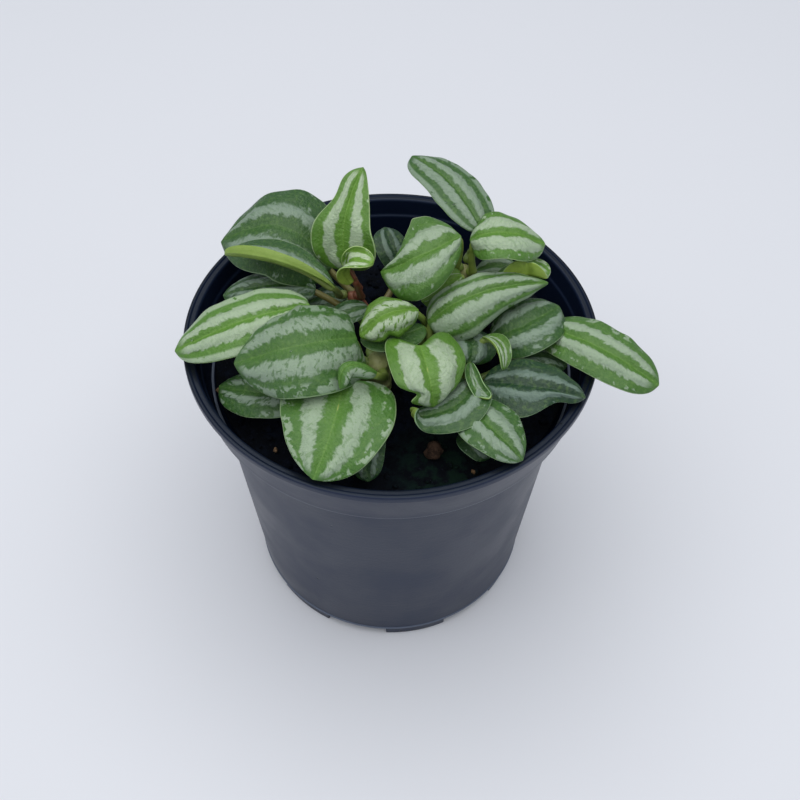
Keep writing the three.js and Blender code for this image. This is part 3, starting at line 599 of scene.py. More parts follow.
leaves = dict(
    leaf_back_left_broad=dict(
        stem="stem_left", height=89.5, toward=110,
        base=(-16, 16.5, 94), mid=(-28, 20.5, 104.5), tip=(-44, 22, 97.5),
        width=27, blunt=0.42, roll=18, cup=-16, dark=0.72, inner=0.22, outer=0.52, patch=0.3,
        redStalk=0.5,
        leftSide=dict(scale=1.1),
        rightSide=dict(tipFall=1.5, tipBlunt=0.72)),
    leaf_back_upright=dict(
        stem="stem_left", height=91, toward=60,
        base=(-11, 9, 101), mid=(-11.5, 13, 113), tip=(-7, 23, 121),
        width=16.5, widest=0.36, blunt=0.85, tipFall=1.25, tipBlunt=0.55, cup=14, dark=0.06,
        lime=0.2, inner=0.24, outer=0.64, edge=0, patch=0.15, redStalk=1,
        leftSide=dict(widest=0.34, tipFall=1.6, tipBlunt=0.6, notch=0.36, notchAt=0.7,
                      notchWidth=0.17),
        rightSide=dict(widest=0.3, tipFall=1.3, tipBlunt=0.7)),
    leaf_left_folded=dict(
        stem="stem_left", height=92, toward=190,
        base=(-14, 2.5, 101), mid=(-26, 5, 106.5), tip=(-41, 11, 104),
        width=14, blunt=0.6, cup=10, dark=0.75, inner=0.15, patch=0.5, redStalk=0.15,
        leftSide=dict(scale=0.62, widest=0.64, tipFall=2.6,
                      fold=((0.22, 30), (0.45, 115), (1, 135)), foldFrom=-0.2, foldTo=1.35),
        rightSide=dict(scale=1, widest=0.6, tipFall=2, tipBlunt=0.6)),
    leaf_left_mottled=dict(
        stem="stem_left", height=86.5, toward=195,
        base=(-19.5, 9.5, 93), mid=(-30.5, 9.5, 94.5), tip=(-43, 9, 91),
        width=11, widest=0.44, blunt=0.6, roll=8, cup=-8, dark=0.82, inner=0.14, edge=0.6,
        patch=0.8, redStalk=0.5),
    leaf_left_long=dict(
        stem="stem_main", height=89.5, toward=165,
        base=(-20, -3, 100), mid=(-35.5, -9.5, 101), tip=(-52, -11.5, 92.5),
        width=16.5, widest=0.44, blunt=0.55, tipFall=2.2, tipBlunt=0.5, roll=12, cup=-14, lobes=0.5,
        dark=0.12, lime=0.1, inner=0.14, edge=0.8, patch=0.12),
    leaf_left_domed=dict(
        stem="stem_main", height=91, toward=185,
        base=(-8.5, -15.5, 102), mid=(-21, -23.5, 108), tip=(-36, -20.5, 98.5),
        width=24, widest=0.44, blunt=0.36, tipFall=2.1, tipBlunt=0.5, roll=14, cup=-28, lobes=0.9,
        inner=0.24, outer=0.62, edge=0.5, patch=0.65),
    leaf_left_low=dict(
        stem="stem_main", height=84, toward=200,
        base=(-20.5, -22, 91), mid=(-30.5, -23, 91), tip=(-41.5, -17, 86),
        width=13, widest=0.44, roll=12, cup=-8, dark=0.66, inner=0.22, edge=0.3, patch=0.95),
    leaf_front_broad=dict(
        stem="stem_main", height=88, toward=-140,
        base=(-11, -25.5, 98.5), mid=(-13, -38.5, 97.5), tip=(-17, -48, 91.5),
        width=26.5, widest=0.29, tipFall=1.9, tipBlunt=0.6, roll=4, cup=-10, dark=0.25, inner=0.22,
        outer=0.56, edge=0.35),
    leaf_young_rolled=dict(
        stem="stem_main", height=90, toward=-70,
        base=(-3.5, -26, 102), mid=(-9.6, -28.4, 107), tip=(-11.1, -31.4, 103),
        width=9.5, blunt=0.35, tipFall=3, tipBlunt=0.4, dark=0.32, inner=0.22, outer=0.6, edge=0,
        patch=1,
        leftSide=dict(fold=((0.35, -70), (1, -175)), foldFrom=-0.3, foldTo=1.3),
        rightSide=dict(fold=((0.35, -70), (1, -175)), foldFrom=-0.3, foldTo=1.3)),
    leaf_centre_hood=dict(
        stem="stem_right", height=91, toward=110,
        base=(6, -7.5, 103), mid=(-1, -11.5, 106), tip=(-7, -14, 101),
        width=13, blunt=0.55, roll=10, cup=-35, dark=0.35, lime=0.35, inner=0.16, outer=0.55,
        edge=0, patch=1,
        leftSide=dict(scale=1.25, notch=0.25, notchAt=0.68, notchWidth=0.12,
                      fold=((0.45, -20), (1, -95)), foldFrom=-0.15, foldTo=1.15)),
    leaf_centre_under=dict(
        stem="stem_right", height=89, toward=-150,
        base=(8, -7, 97), mid=(-0.5, -11, 97.5), tip=(-7, -10.5, 98),
        width=9, blunt=0.6, roll=5, inner=0.8, outer=0.7, edge=0, patch=0.5),
    leaf_centre_heart=dict(
        stem="stem_front", height=90, toward=165,
        base=(6.5, -19, 103), mid=(8.5, -28, 103), tip=(9.5, -30.5, 96),
        width=20.5, widest=0.35, blunt=0.42, tipFall=1.7, tipBlunt=0.5, roll=8, cup=-22, lobes=1.5,
        dark=0.2, lime=0.2, outer=0.7, edge=0, patch=0.25,
        leftSide=dict(scale=1.1),
        rightSide=dict(scale=0.82, notch=0.5, notchAt=0.74, notchWidth=0.07, tipFall=1.9)),
    leaf_front_hooked=dict(
        stem="stem_front", height=87, toward=-50,
        base=(19, -23.5, 96), mid=(13, -31, 95), tip=(1, -30.5, 91),
        width=13.5, widest=0.42, blunt=0.55, tipFall=1.3, tipBlunt=0.85, cup=-12, lobes=0.6,
        tipCurl=170, tipFrom=0.75, dark=0.75, inner=0.22, outer=0.6, edge=0, patch=0.3),
    leaf_front_right=dict(
        stem="stem_front", height=83.5, toward=-75,
        base=(16, -25.5, 91.5), mid=(22.8, -36, 94.5), tip=(29.3, -42.6, 91.5),
        width=13, widest=0.42, blunt=0.6, tipFall=1.7, tipBlunt=0.6, cup=-10, dark=0.58, inner=0.16,
        outer=0.56, edge=0.4, patch=0.3,
        leftSide=dict(scale=1.2)),
    leaf_curl_low=dict(
        stem="stem_front", height=87.5, toward=12,
        base=(18.5, -18.5, 97), mid=(19.5, -25.5, 97), tip=(22.5, -27.5, 94.5),
        width=4.6, blunt=0.6, cup=60, curlLeft=60, tipCurl=100, tipFrom=0.7, inner=0, outer=0.32,
        edge=0.2, patch=0.6),
    leaf_curl_high=dict(
        stem="stem_front", height=86.5, toward=60,
        base=(22, -11, 98), mid=(25.5, -16.5, 100.5), tip=(26, -21, 97.5),
        width=5, blunt=0.6, tipFall=1.6, tipBlunt=0.6, cup=55, curlRight=60, lime=0.2, inner=0.1,
        outer=0.42, edge=0.2, patch=0.6),
    leaf_right_low=dict(
        stem="stem_front", height=84.5, toward=-5,
        base=(22, -19.5, 91), mid=(33, -23, 94), tip=(45.5, -24.5, 91.5),
        width=15.5, widest=0.42, blunt=0.65, tipFall=1.6, tipBlunt=0.72, roll=-12, cup=-12, dark=1,
        inner=0.22, edge=0, patch=0.2,
        leftSide=dict(scale=0.95, tipFall=2.2, tipBlunt=0.5),
        rightSide=dict(scale=1.05, notch=0.5, notchAt=0.78, notchWidth=0.15, tipFall=1.5,
                       tipBlunt=0.8)),
    leaf_right_mid=dict(
        stem="stem_right", height=90.5, toward=0,
        base=(24.5, -7, 92.5), mid=(32, -7, 98), tip=(41, 0, 97),
        width=16, widest=0.48, roll=-8, cup=-10, dark=0.72, inner=0.3, outer=0.68, edge=0.2),
    leaf_right_long=dict(
        stem="stem_right", height=86.5, toward=-25,
        base=(37.5, -2.5, 92), mid=(49, -13, 97), tip=(63.5, -20, 91),
        width=15, roll=-12, cup=-12, dark=0.36, lime=0.05, outer=0.54, edge=0.3, patch=0.1),
    leaf_centre_long=dict(
        stem="stem_right", height=93, toward=-85,
        base=(9, -6.5, 98), mid=(20.5, -4.5, 106), tip=(37.6, 1.5, 103.5),
        width=13.5, widest=0.38, roll=-12, cup=-22, dark=0.48, lime=0.1, inner=0.16, outer=0.56,
        edge=0.75, patch=0.15,
        leftSide=dict(scale=0.9, tipFall=2.4, tipBlunt=0.5),
        rightSide=dict(scale=1.45, widest=0.33, tipFall=1.3, tipBlunt=0.8,
                       fold=((0.45, -8), (0.75, -42), (1, -55)), foldFrom=-0.2, foldTo=1.3)),
    leaf_centre_lower=dict(
        stem="stem_right", height=92, toward=35,
        base=(14, -6, 93.5), mid=(19, -11.5, 96.5), tip=(18, -16, 94),
        width=12.5, cup=-15, dark=0.85, outer=0.6, patch=0.3),
    leaf_top_left=dict(
        stem="stem_tall", height=100, toward=215,
        base=(16.2, 7.4, 113), mid=(7, 1.5, 112.5), tip=(-2.4, 2, 106.5),
        width=17.5, widest=0.42, roll=12, cup=-16, dark=0.38, lime=0.1, outer=0.6, patch=0.3,
        leftSide=dict(widest=0.62, scale=1.12, tipFall=2.8, tipBlunt=0.45,
                      fold=((0.5, -8), (1, -40)), foldFrom=-0.2, foldTo=1.3),
        rightSide=dict(widest=0.42, scale=1.3, tipFall=1, tipBlunt=1, fold=((0.55, -5), (1, 22)),
                       foldFrom=0.1, foldTo=0.75)),
    leaf_top_right=dict(
        stem="stem_tall", height=99, toward=-50,
        base=(19.2, 9.5, 110), mid=(26.5, 8, 114), tip=(37, 10.5, 108),
        width=14.5, widest=0.44, blunt=0.55, roll=-10, cup=-18, dark=0.12, lime=0.1, inner=0.18,
        outer=0.66, edge=0.15, patch=0.25),
    leaf_top_back=dict(
        stem="stem_tall", height=100, toward=75,
        base=(21.5, 14, 110), mid=(14.5, 24.5, 115), tip=(5, 36.5, 114),
        width=12.5, widest=0.48, blunt=0.42, cup=-10, dark=0.62, inner=0.12, outer=0.48, edge=0.65,
        patch=0.2,
        rightSide=dict(scale=1.18, widest=0.36)),
    leaf_back_small=dict(
        stem="stem_left", height=85, toward=60,
        base=(2.5, 21, 90), mid=(0, 23.5, 95), tip=(-2, 30, 96),
        width=9, dark=0.96, patch=0.2, redStalk=0.6),
    leaf_young_back=dict(
        stem="stem_left", height=92, toward=-25,
        base=(-9.5, 3, 102.5), mid=(-10, 3.5, 108), tip=(-4.5, 1, 110),
        width=9, cup=38, curlLeft=60, dark=0, lime=0.5, outer=0.62, edge=0.3, redStalk=1,
        leftSide=dict(fold=((0.5, 20), (1, 90)), foldFrom=-0.2, foldTo=0.6)),
    leaf_shaded_left=dict(
        stem="stem_left", height=83, toward=150,
        base=(-12, 13, 87), mid=(-16.5, 12, 88), tip=(-22, 11.5, 86),
        width=8, roll=10, dark=0.8),
    leaf_shaded_centre=dict(
        stem="stem_main", height=89, toward=120,
        base=(-6, 4, 92.5), mid=(-10.5, 1.5, 93.5), tip=(-15, 0.5, 91.5),
        width=7, roll=10, dark=0.75, outer=0.55, edge=0.3),
    leaf_front_dewy=dict(
        stem="stem_main", height=82, toward=-90,
        base=(-3.5, -28.5, 86), mid=(-5.5, -37, 87), tip=(-5, -42.5, 83),
        width=8.5, widest=0.48, blunt=0.45, cup=-15, dark=0.91, inner=0.28, outer=0.6, edge=0.2),
    leaf_shaded_back_right=dict(
        stem="stem_tall", height=91, toward=60,
        base=(21.5, 14.5, 95), mid=(27, 13.5, 98), tip=(33, 14, 95),
        width=9, roll=-5, cup=-10, outer=0.6, edge=0.2, patch=0.3),
    leaf_silver_back_right=dict(
        stem="stem_tall", height=92, toward=-30,
        base=(26.5, 3, 100), mid=(32, 6.5, 102), tip=(38, 4, 103.5),
        width=10, widest=0.48, roll=-5, dark=0.15, lime=0.2, inner=0.16, edge=0.3, patch=0.2,
        rightSide=dict(scale=1.7, fold=((0.25, 50), (0.5, 100), (1, 115)), foldFrom=-0.1,
                       foldTo=1.2, tipFall=3, notch=0.2, notchAt=0.72, notchWidth=0.1)),
    leaf_olive_centre=dict(
        stem="stem_tall", height=97, toward=220,
        base=(17, 4.5, 103), mid=(12.5, 3, 101), tip=(7.5, 1.5, 97),
        width=9, roll=10, dark=0.4, lime=0.35, inner=0.3, outer=0.4, edge=0, patch=0.6),
    leaf_shaded_right=dict(
        stem="stem_front", height=83, toward=35,
        base=(32, -9, 88), mid=(38, -10, 90), tip=(43, -11.5, 88),
        width=9, roll=-5, dark=0.85, edge=0.2, patch=0.9),
    leaf_shaded_inner=dict(
        stem="stem_right", height=84, toward=-40,
        base=(18.5, -3, 84.5), mid=(21, -4, 85), tip=(23.5, -5.5, 83.5),
        width=8, roll=-5, dark=0.9),
    leaf_shaded_front=dict(
        stem="stem_front", height=81.5, toward=-125,
        base=(17, -29.5, 85), mid=(20, -33.5, 86), tip=(23, -36.5, 84),
        width=8, roll=-5, dark=0.85),
)


def outline(side, s):
    # half-width as a part of the widest: slim towards the stalk, blunter towards the tip
    if s < side["widest"]:
        skew = math.log(0.5) / math.log(side["widest"])
        whole = max(math.sin(math.pi * s ** skew), 0) ** side["blunt"]
    else:
        past = (s - side["widest"]) / (1 - side["widest"])
        whole = max(1 - past ** side["tipFall"], 0) ** side["tipBlunt"]
    dip = side["notch"] * math.exp(-((s - side["notchAt"]) / side["notchWidth"]) ** 2)
    return side["scale"] * whole * (1 - dip)


def eased(value):
    value = clamp01(value)
    return value * value * (3 - 2 * value)


def foldAngle(side, s, place):
    # the extra slope that a fold gives at one place between midrib and margin
    fade = leafShape["foldFade"]
    strength = eased((s - side["foldFrom"]) / fade) * eased((side["foldTo"] - s) / fade)
    before, angle = 0.0, 0.0
    for reach, bend in side["fold"]:
        if place < reach:
            return strength * (angle + (bend - angle) * eased((place - before) / (reach - before)))
        before, angle = reach, bend
    return strength * angle


def crossSection(leaf, s, t):
    strength = max(math.sin(math.pi * s), 0) ** leafShape["curlFade"]
    curl = (leaf["curlLeft"] if t < 0 else leaf["curlRight"]) * strength
    side = leaf["leftSide"] if t < 0 else leaf["rightSide"]
    start = leafShape["curlStart"]
    steps = leafShape["foldSteps" if side["fold"] else "slopeSteps"]
    across = rise = slope = 0.0
    for k in range(steps):
        place = abs(t) * (k + 0.5) / steps
        curled = clamp01((place - start) / (1 - start)) ** leafShape["curlGrowth"]
        slope = math.radians(leaf["cup"] * place + curl * curled + foldAngle(side, s, place))
        across += math.cos(slope) * abs(t) / steps
        rise += math.sin(slope) * abs(t) / steps
    sign = 1 if t >= 0 else -1
    return sign * across, rise, sign * slope


def midribPlace(leaf, points, s):
    # the quadratic midrib, and past tipFrom an arc that bends up out of it
    bent = s > leaf["tipFrom"] and leaf["tipCurl"]
    point, direction = curvePoint(points, leaf["tipFrom"] if bent else s)
    if not bent:
        return point, direction
    level = (points[2] - points[0]).cross(up).normalized()
    face = level.cross(direction).normalized()
    reach = leaf["length"] * (s - leaf["tipFrom"])
    whole = math.radians(leaf["tipCurl"])
    angle = whole * (s - leaf["tipFrom"]) / (1 - leaf["tipFrom"])
    radius = reach / angle
    point = point + direction * radius * math.sin(angle) + face * radius * (1 - math.cos(angle))
    return point, direction * math.cos(angle) + face * math.sin(angle)


def bladePoint(leaf, s, t):
    # a place on the blade's middle layer, the way its upper face looks, and the half-width there
    points = [Vector(leaf[k]) for k in ("base", "mid", "tip")]
    point, direction = midribPlace(leaf, points, s)
    level = (points[2] - points[0]).cross(up).normalized()
    level = (level - direction * level.dot(direction)).normalized()
    face = level.cross(direction)
    roll = math.radians(leaf["roll"])
    side = level * math.cos(roll) + face * math.sin(roll)
    normal = face * math.cos(roll) - level * math.sin(roll)
    half = leaf["width"] / 2 * outline(leaf["leftSide"] if t < 0 else leaf["rightSide"], s)
    seed, row = leaf["seed"], leafShape["wanderRows"][0 if t < 0 else 1]
    wander = noise.noise(Vector((s * leafShape["wanderRate"] + seed, row + seed, 0)))
    half *= 1 + leafShape["wander"] * wander * abs(t)
    across, rise, slope = crossSection(leaf, s, t)
    place = point + normal * half * rise + side * half * across
    place -= direction * leaf["lobes"] * half * t * t * (1 - s) ** 3
    facing = (normal * math.cos(slope) - side * math.sin(slope)).normalized()
    return place, facing, half


def hump(distance, width):
    return math.exp(-(distance / width) ** 2)


def faceRelief(leaf, s, t, half):
    # veins pressed into the upper face, soft quilting between them, and an uneven margin
    away, width, long = abs(t), leaf["width"], s * leaf["length"]
    ends = clamp01(min(s, 1 - s) / relief["endFade"])
    groove = relief["groove"] * hump(t, relief["grooveWidth"])
    vein = relief["vein"] * hump(away - leaf["outer"], relief["grooveWidth"])
    quilt = relief["quilt"] * hump(away - (leaf["inner"] + leaf["outer"]) / 2, relief["quiltWidth"])
    place = Vector((t * half / relief["waveSize"], long / relief["waveSize"], leaf["seed"]))
    wave = noise.noise(place) * relief["wave"]
    wave += noise.noise(place * relief["waveRatio"]) * relief["smallWave"]
    row = leaf["seed"] * relief["rippleRow"] + (0 if t < 0 else relief["rippleGap"])
    ripple = relief["ripple"] * noise.noise(Vector((long / relief["rippleSize"], row, 2))) * away ** 3
    pressed = (quilt - groove - vein) * min(width / relief["fullWidth"], 1)
    return (pressed + (wave + ripple) * min(width / relief["waveFullWidth"], relief["waveMost"])) * ends


def stalkLine(leaf):
    # from inside the stem out to the blade's base, in millimetres
    stem = stems[leaf["stem"]]
    path = [Vector(p) for p in stem["path"]]
    # halve the stretch of stem until it is at the row's height
    low, high = 0.0, 1.0
    for _ in range(20):
        middle = (low + high) / 2
        if splinePoint(path, middle).z < leaf["height"]:
            low = middle
        else:
            high = middle
    centre = splinePoint(path, low)
    angle = math.radians(leaf["toward"])
    outward = Vector((math.cos(angle), math.sin(angle), 0))
    root = centre + outward * (stem["radius"] + stalk["radius"] + stalk["clearance"])
    points = [Vector(leaf[k]) for k in ("base", "mid", "tip")]
    base = points[0]
    start = curvePoint(points, 0)[1]
    bend = (root + base) / 2 - start * (root - base).length * stalk["reach"]
    return centre + outward * stem["radius"] * stalk["rooted"], [root, bend, base]


def leafTube(bm, leaf):
    inside, points = stalkLine(leaf)
    facing = bladePoint(leaf, 0, 0)[1]
    line = [inside * mm]
    radii = [stalk["radius"] * stalk["rootSize"] * mm]
    for k in range(stalk["rings"] + 1):
        f = k / stalk["rings"]
        size = stalk["startSize"] - stalk["waist"] * math.sin(math.pi * f) - stalk["taper"] * f ** 2
        line.append((curvePoint(points, f)[0] - facing * stalk["drop"] * f ** 2) * mm)
        radii.append(stalk["radius"] * size * mm)
    # then on under the blade as its midrib, thinner and nearer the face towards the tip
    for k in range(1, stalk["midribRings"] + 1):
        s = stalk["midribEnd"] * (k / stalk["midribRings"]) ** stalk["midribCrowd"]
        place, facing, half = bladePoint(leaf, s, 0)
        fade = 1 - k / (stalk["midribRings"] + 1)
        radius = stalk["radius"] * (stalk["midribLeast"] + stalk["midribMore"] * fade) * leaf["thin"]
        depth = leafShape["thickness"] * leaf["thin"] / 2 + radius * stalk["midribSunk"] * fade
        depth += stalk["drop"] * max(1 - 4 * s, 0)
        line.append((place - facing * depth) * mm)
        radii.append(radius * mm)
    return tube(bm, line, radii, stalk["sides"], materialIndex=3)


def makeLeaf(name, leaf, materials):
    across, along = leafShape["across"], leafShape["along"]
    if leaf["width"] < leafShape["smallWidth"]:
        across -= leafShape["smallAcross"]
        along -= leafShape["smallAlong"]
    if leaf["leftSide"]["fold"] or leaf["rightSide"]["fold"]:
        across += leafShape["foldAcross"]
    elif leaf["curlLeft"] or leaf["curlRight"]:
        across += leafShape["curlAcross"]
    bm = bmesh.new()
    placeMap = bm.loops.layers.uv.new("place")
    bmesh.ops.create_grid(bm, x_segments=across, y_segments=along, size=1, calc_uvs=True)
    spanMap = bm.loops.layers.uv.new("span")
    look = bm.verts.layers.float_color.new("look")
    extra = bm.verts.layers.float_color.new("extra")
    rise = leafShape["faceRise"] * leaf["thin"]
    under = {}
    for v in bm.verts:
        # the grid's rows crowd towards the base and the tip, its columns a little to the midrib
        u = v.co.x
        t = (1 - leafShape["crowded"]) * u + leafShape["crowded"] * u ** 3
        s = (1 - math.cos(math.pi * (v.co.y + 1) / 2)) / 2
        place, facing, half = bladePoint(leaf, s, t)
        full = 1 - t * t
        thick = leafShape["marginThickness"] * (1 - full) + leafShape["thickness"] * full
        shift = faceRelief(leaf, s, t, half)
        lower = rise * full - thick * leaf["thin"] + shift * relief["underShare"]
        under[v] = (place + facing * lower) * mm
        v[look] = (leaf["dark"], leaf["lime"], leaf["inner"], leaf["outer"])
        v[extra] = (leaf["edge"], leaf["patch"], 0, 1)
        width, long = t * half / leafShape["spanSize"], s * leaf["length"] / leafShape["spanSize"]
        for loop in v.link_loops:
            loop[placeMap].uv = (t * 0.5 + 0.5, s)
            loop[spanMap].uv = (width + leaf["seed"] * leafShape["spanStep"], long)
        v.co = (place + facing * (rise * full + shift)) * mm
    topVerts = list(bm.verts)
    copied = bmesh.ops.duplicate(bm, geom=list(bm.faces))
    for v in topVerts:
        copied["vert_map"][v].co = under[v]
    lowerFaces = [g for g in copied["geom"] if isinstance(g, bmesh.types.BMFace)]
    bmesh.ops.reverse_faces(bm, faces=lowerFaces)
    for f in lowerFaces:
        f.material_index = 1
    rim = [e for e in bm.edges if e.is_boundary]
    bridged = bmesh.ops.bridge_loops(bm, edges=rim)
    for f in bridged["faces"]:
        f.material_index = 2
    bmesh.ops.remove_doubles(bm, verts=bm.verts, dist=2e-6)
    bmesh.ops.recalc_face_normals(bm, faces=bm.faces)
    for f in leafTube(bm, leaf):
        for v in f.verts:
            v[look] = (leaf["dark"], leaf["lime"], leaf["redStalk"], 0)
            v[extra] = (leaf["edge"], leaf["patch"], 0, 1)
    return finishPiece(bm, name + "_blade", materials, [name])


def leafCoordinates(tree):
    # t runs from -1 at the left margin to 1 at the right, s from base to tip
    place = add(tree, "UVMap", uv_map="place").outputs[0]
    parts = add(tree, "SeparateXYZ", {0: place})
    t = minus(tree, times(tree, parts.outputs[0], 2.0), 1.0)
    span = add(tree, "UVMap", uv_map="span").outputs[0]
    return t, parts.outputs[1], span


def leafLooks(tree):
    look = add(tree, "Attribute", attribute_name="look", attribute_type="GEOMETRY")
    extra = add(tree, "Attribute", attribute_name="extra", attribute_type="GEOMETRY")
    first = add(tree, "SeparateColor", {0: look.outputs["Color"]})
    second = add(tree, "SeparateColor", {0: extra.outputs["Color"]})
    return dict(
        dark=first.outputs[0], lime=first.outputs[1], inner=first.outputs[2],
        outer=look.outputs["Alpha"], edge=second.outputs[0], patch=second.outputs[1],
    )


# the deep colours, mixed in by a leaf's dark value, are partly darker leaf tone and partly painted shade
leafPaint = dict(
    green="#568a2f", deepGreenAndShade="#1a3c28", lime="#86b034", silver="#b0c6a6", deepSilverAndShade="#70877a",
    limeSilver="#d0e0bd", under="#9cb84a", underDeepAndShade="#6c8a4c", margin="#bcd0a6", roughness=0.38,
)


def upperMaterial():
    material, tree, shader = newMaterial("leaf_upper", Roughness=leafPaint["roughness"], Coat_Weight=0.12,
                                         Coat_Roughness=0.28, Subsurface_Weight=0.06,
                                         Subsurface_Radius=leafFlesh)
    t, s, span = leafCoordinates(tree)
    looks = leafLooks(tree)
    away = maths(tree, "ABSOLUTE", t)
    spanParts = add(tree, "SeparateXYZ", {0: span})
    x, y = spanParts.outputs[0], spanParts.outputs[1]
    # side veins lean forward, so the teeth of the silver bands do too
    lean = minus(tree, y, times(tree, away, 0.55))
    veined = add(tree, "CombineXYZ", {0: times(tree, x, 0.75), 1: lean}).outputs[0]
    coarse = noiseValue(tree, span, 2.6, 2, 0.5)
    teeth = noiseValue(tree, veined, 7, 2, 0.5)
    fine = noiseValue(tree, veined, 30, 3, 0.6)
    grain = noiseValue(tree, span, 75, 3, 0.6)
    crinkle = noiseValue(tree, span, 14, 3, 0.55)
    sway = times(tree, minus(tree, coarse, 0.5), 0.24)
    jag = times(tree, minus(tree, teeth, 0.5), 0.24)
    hair = times(tree, minus(tree, fine, 0.5), 0.10)
    wobble = plus(tree, plus(tree, sway, jag), hair)
    placeIn = minus(tree, plus(tree, away, wobble), looks["inner"])
    placeOut = minus(tree, minus(tree, away, wobble), looks["outer"])
    band = times(tree, soft(tree, placeIn, -0.03, 0.05), soft(tree, placeOut, 0.045, -0.04))
    # the bands fade before the tip and at the very base
    ends = times(tree, soft(tree, s, 0.975, 0.9), soft(tree, s, 0.0, 0.05))
    band = times(tree, band, ends)
    # broken, mottled silver
    flakes = noiseValue(tree, veined, 7.5, 4, 0.62)
    gaps = times(tree, soft(tree, flakes, 0.47, 0.40), looks["patch"])
    holes = minus(tree, 1.0, gaps)
    band = times(tree, band, holes)
    # silver flecks and a pale zone by the margin
    zone = times(tree, soft(tree, away, 0.70, 0.80), soft(tree, away, 1.02, 0.93))
    patches = noiseValue(tree, span, 3.2, 3, 0.6)
    strewn = plus(tree, times(tree, looks["edge"], 0.42), patches)
    flecks = soft(tree, plus(tree, strewn, times(tree, jag, 1.2)), 0.66, 0.72)
    marginal = times(tree, times(tree, zone, flecks), 0.85)
    silver = maths(tree, "MAXIMUM", band, marginal, clamp=True)

    # the leaf's dark value deepens the green: partly its own deeper tone, partly painted shade on leaves
    # in shade
    green = mixed(tree, looks["dark"], leafPaint["green"], leafPaint["deepGreenAndShade"])
    green = mixed(tree, looks["lime"], green, leafPaint["lime"])
    # the green is fresher by the midrib and deeper towards the margin
    bright = minus(tree, 1.0, looks["dark"])
    fresh = times(tree, soft(tree, away, 0.3, 0.0), times(tree, bright, 0.3))
    green = mixed(tree, fresh, green, "#79ab3c")
    deep = times(tree, soft(tree, away, 0.55, 0.95), 0.35)
    green = mixed(tree, deep, green, mixed(tree, 0.5, green, "#2f5a2a"))
    mottle = soft(tree, grain, 0.3, 0.75)
    green = mixed(tree, times(tree, mottle, 0.22), green, "#2d5722")
    blotch = soft(tree, noiseValue(tree, span, 9, 4, 0.6), 0.45, 0.7)
    green = mixed(tree, times(tree, blotch, 0.2), green, "#84ab55")
    # and the silver deepens with it, partly painted shade too
    pale = mixed(tree, looks["dark"], leafPaint["silver"], leafPaint["deepSilverAndShade"])
    pale = mixed(tree, looks["lime"], pale, leafPaint["limeSilver"])
    dusk = soft(tree, grain, 0.62, 0.3)
    pale = mixed(tree, times(tree, dusk, 0.2), pale, green)
    veinlets = soft(tree, fine, 0.62, 0.72)
    pale = mixed(tree, times(tree, veinlets, 0.28), pale, green)
    color = mixed(tree, silver, green, pale)
    # the pressed midrib shows as a thin line, and the margin is pale
    line = times(tree, soft(tree, away, 0.025, 0.0), times(tree, bright, 0.18))
    color = mixed(tree, line, color, "#9cc25a")
    lip = times(tree, soft(tree, away, 0.965, 0.99), 0.85)
    color = mixed(tree, lip, color, leafPaint["margin"])
    fill(tree, shader, {"Base Color": color})
    rough = plus(tree, times(tree, silver, 0.08), times(tree, grain, 0.14))
    fill(tree, shader, {"Roughness": plus(tree, rough, leafPaint["roughness"] - 0.1)})
    height = plus(tree, times(tree, grain, 0.55), times(tree, fine, 0.45))
    height = plus(tree, height, times(tree, silver, 0.25))
    height = plus(tree, height, times(tree, crinkle, 1.8))
    bumped(tree, shader, height, 0.0002)
    return material


def underMaterial():
    material, tree, shader = newMaterial("leaf_under", Roughness=0.5, Subsurface_Weight=0.08,
                                         Subsurface_Radius=leafFlesh)
    t, s, span = leafCoordinates(tree)
    looks = leafLooks(tree)
    cloud = noiseValue(tree, span, 6, 4, 0.6)
    # the underside deepens with the leaf's dark value, partly its own tone and partly painted shade
    shade = times(tree, looks["dark"], 0.6)
    color = mixed(tree, shade, leafPaint["under"], leafPaint["underDeepAndShade"])
    clouded = times(tree, soft(tree, cloud, 0.4, 0.7), 0.5)
    color = mixed(tree, clouded, color, "#7b9a3a")
    veins = soft(tree, maths(tree, "ABSOLUTE", t), 0.1, 0.0)
    color = mixed(tree, times(tree, veins, 0.5), color, "#c3d07c")
    fill(tree, shader, {"Base Color": color})
    bumped(tree, shader, noiseValue(tree, span, 45, 3, 0.6), 0.00015)
    return material


def marginMaterial():
    material, tree, shader = newMaterial("leaf_margin", Roughness=0.45, Subsurface_Weight=0.1,
                                         Subsurface_Radius=leafFlesh)
    looks = leafLooks(tree)
    place = objectPlace(tree)
    # the margin deepens with the leaf's dark value, partly its own tone and partly painted shade
    color = mixed(tree, looks["dark"], "#a9c98a", "#86a58b")
    color = mixed(tree, looks["lime"], color, "#bcd472")
    speckle = times(tree, noiseValue(tree, place, 400, 3), 0.4)
    color = mixed(tree, speckle, color, "#6f9a50")
    fill(tree, shader, {"Base Color": color})
    return material


def stalkMaterial():
    material, tree, shader = newMaterial("leaf_stalk", Roughness=0.42, Subsurface_Weight=0.12,
                                         Subsurface_Radius=stalkFlesh)
    looks = leafLooks(tree)
    place = objectPlace(tree)
    streaks = noiseValue(tree, place, 420, 4, 0.6)
    # the stalk deepens with the leaf's dark value, partly its own tone and partly painted shade
    green = mixed(tree, looks["dark"], "#9db354", "#6f8a4c")
    color = mixed(tree, looks["inner"], green, "#7a4a36")
    streaked = times(tree, soft(tree, streaks, 0.5, 0.75), 0.4)
    color = mixed(tree, streaked, color, "#5e7134")
    fill(tree, shader, {"Base Color": color})
    bumped(tree, shader, streaks, 0.00012)
    return material


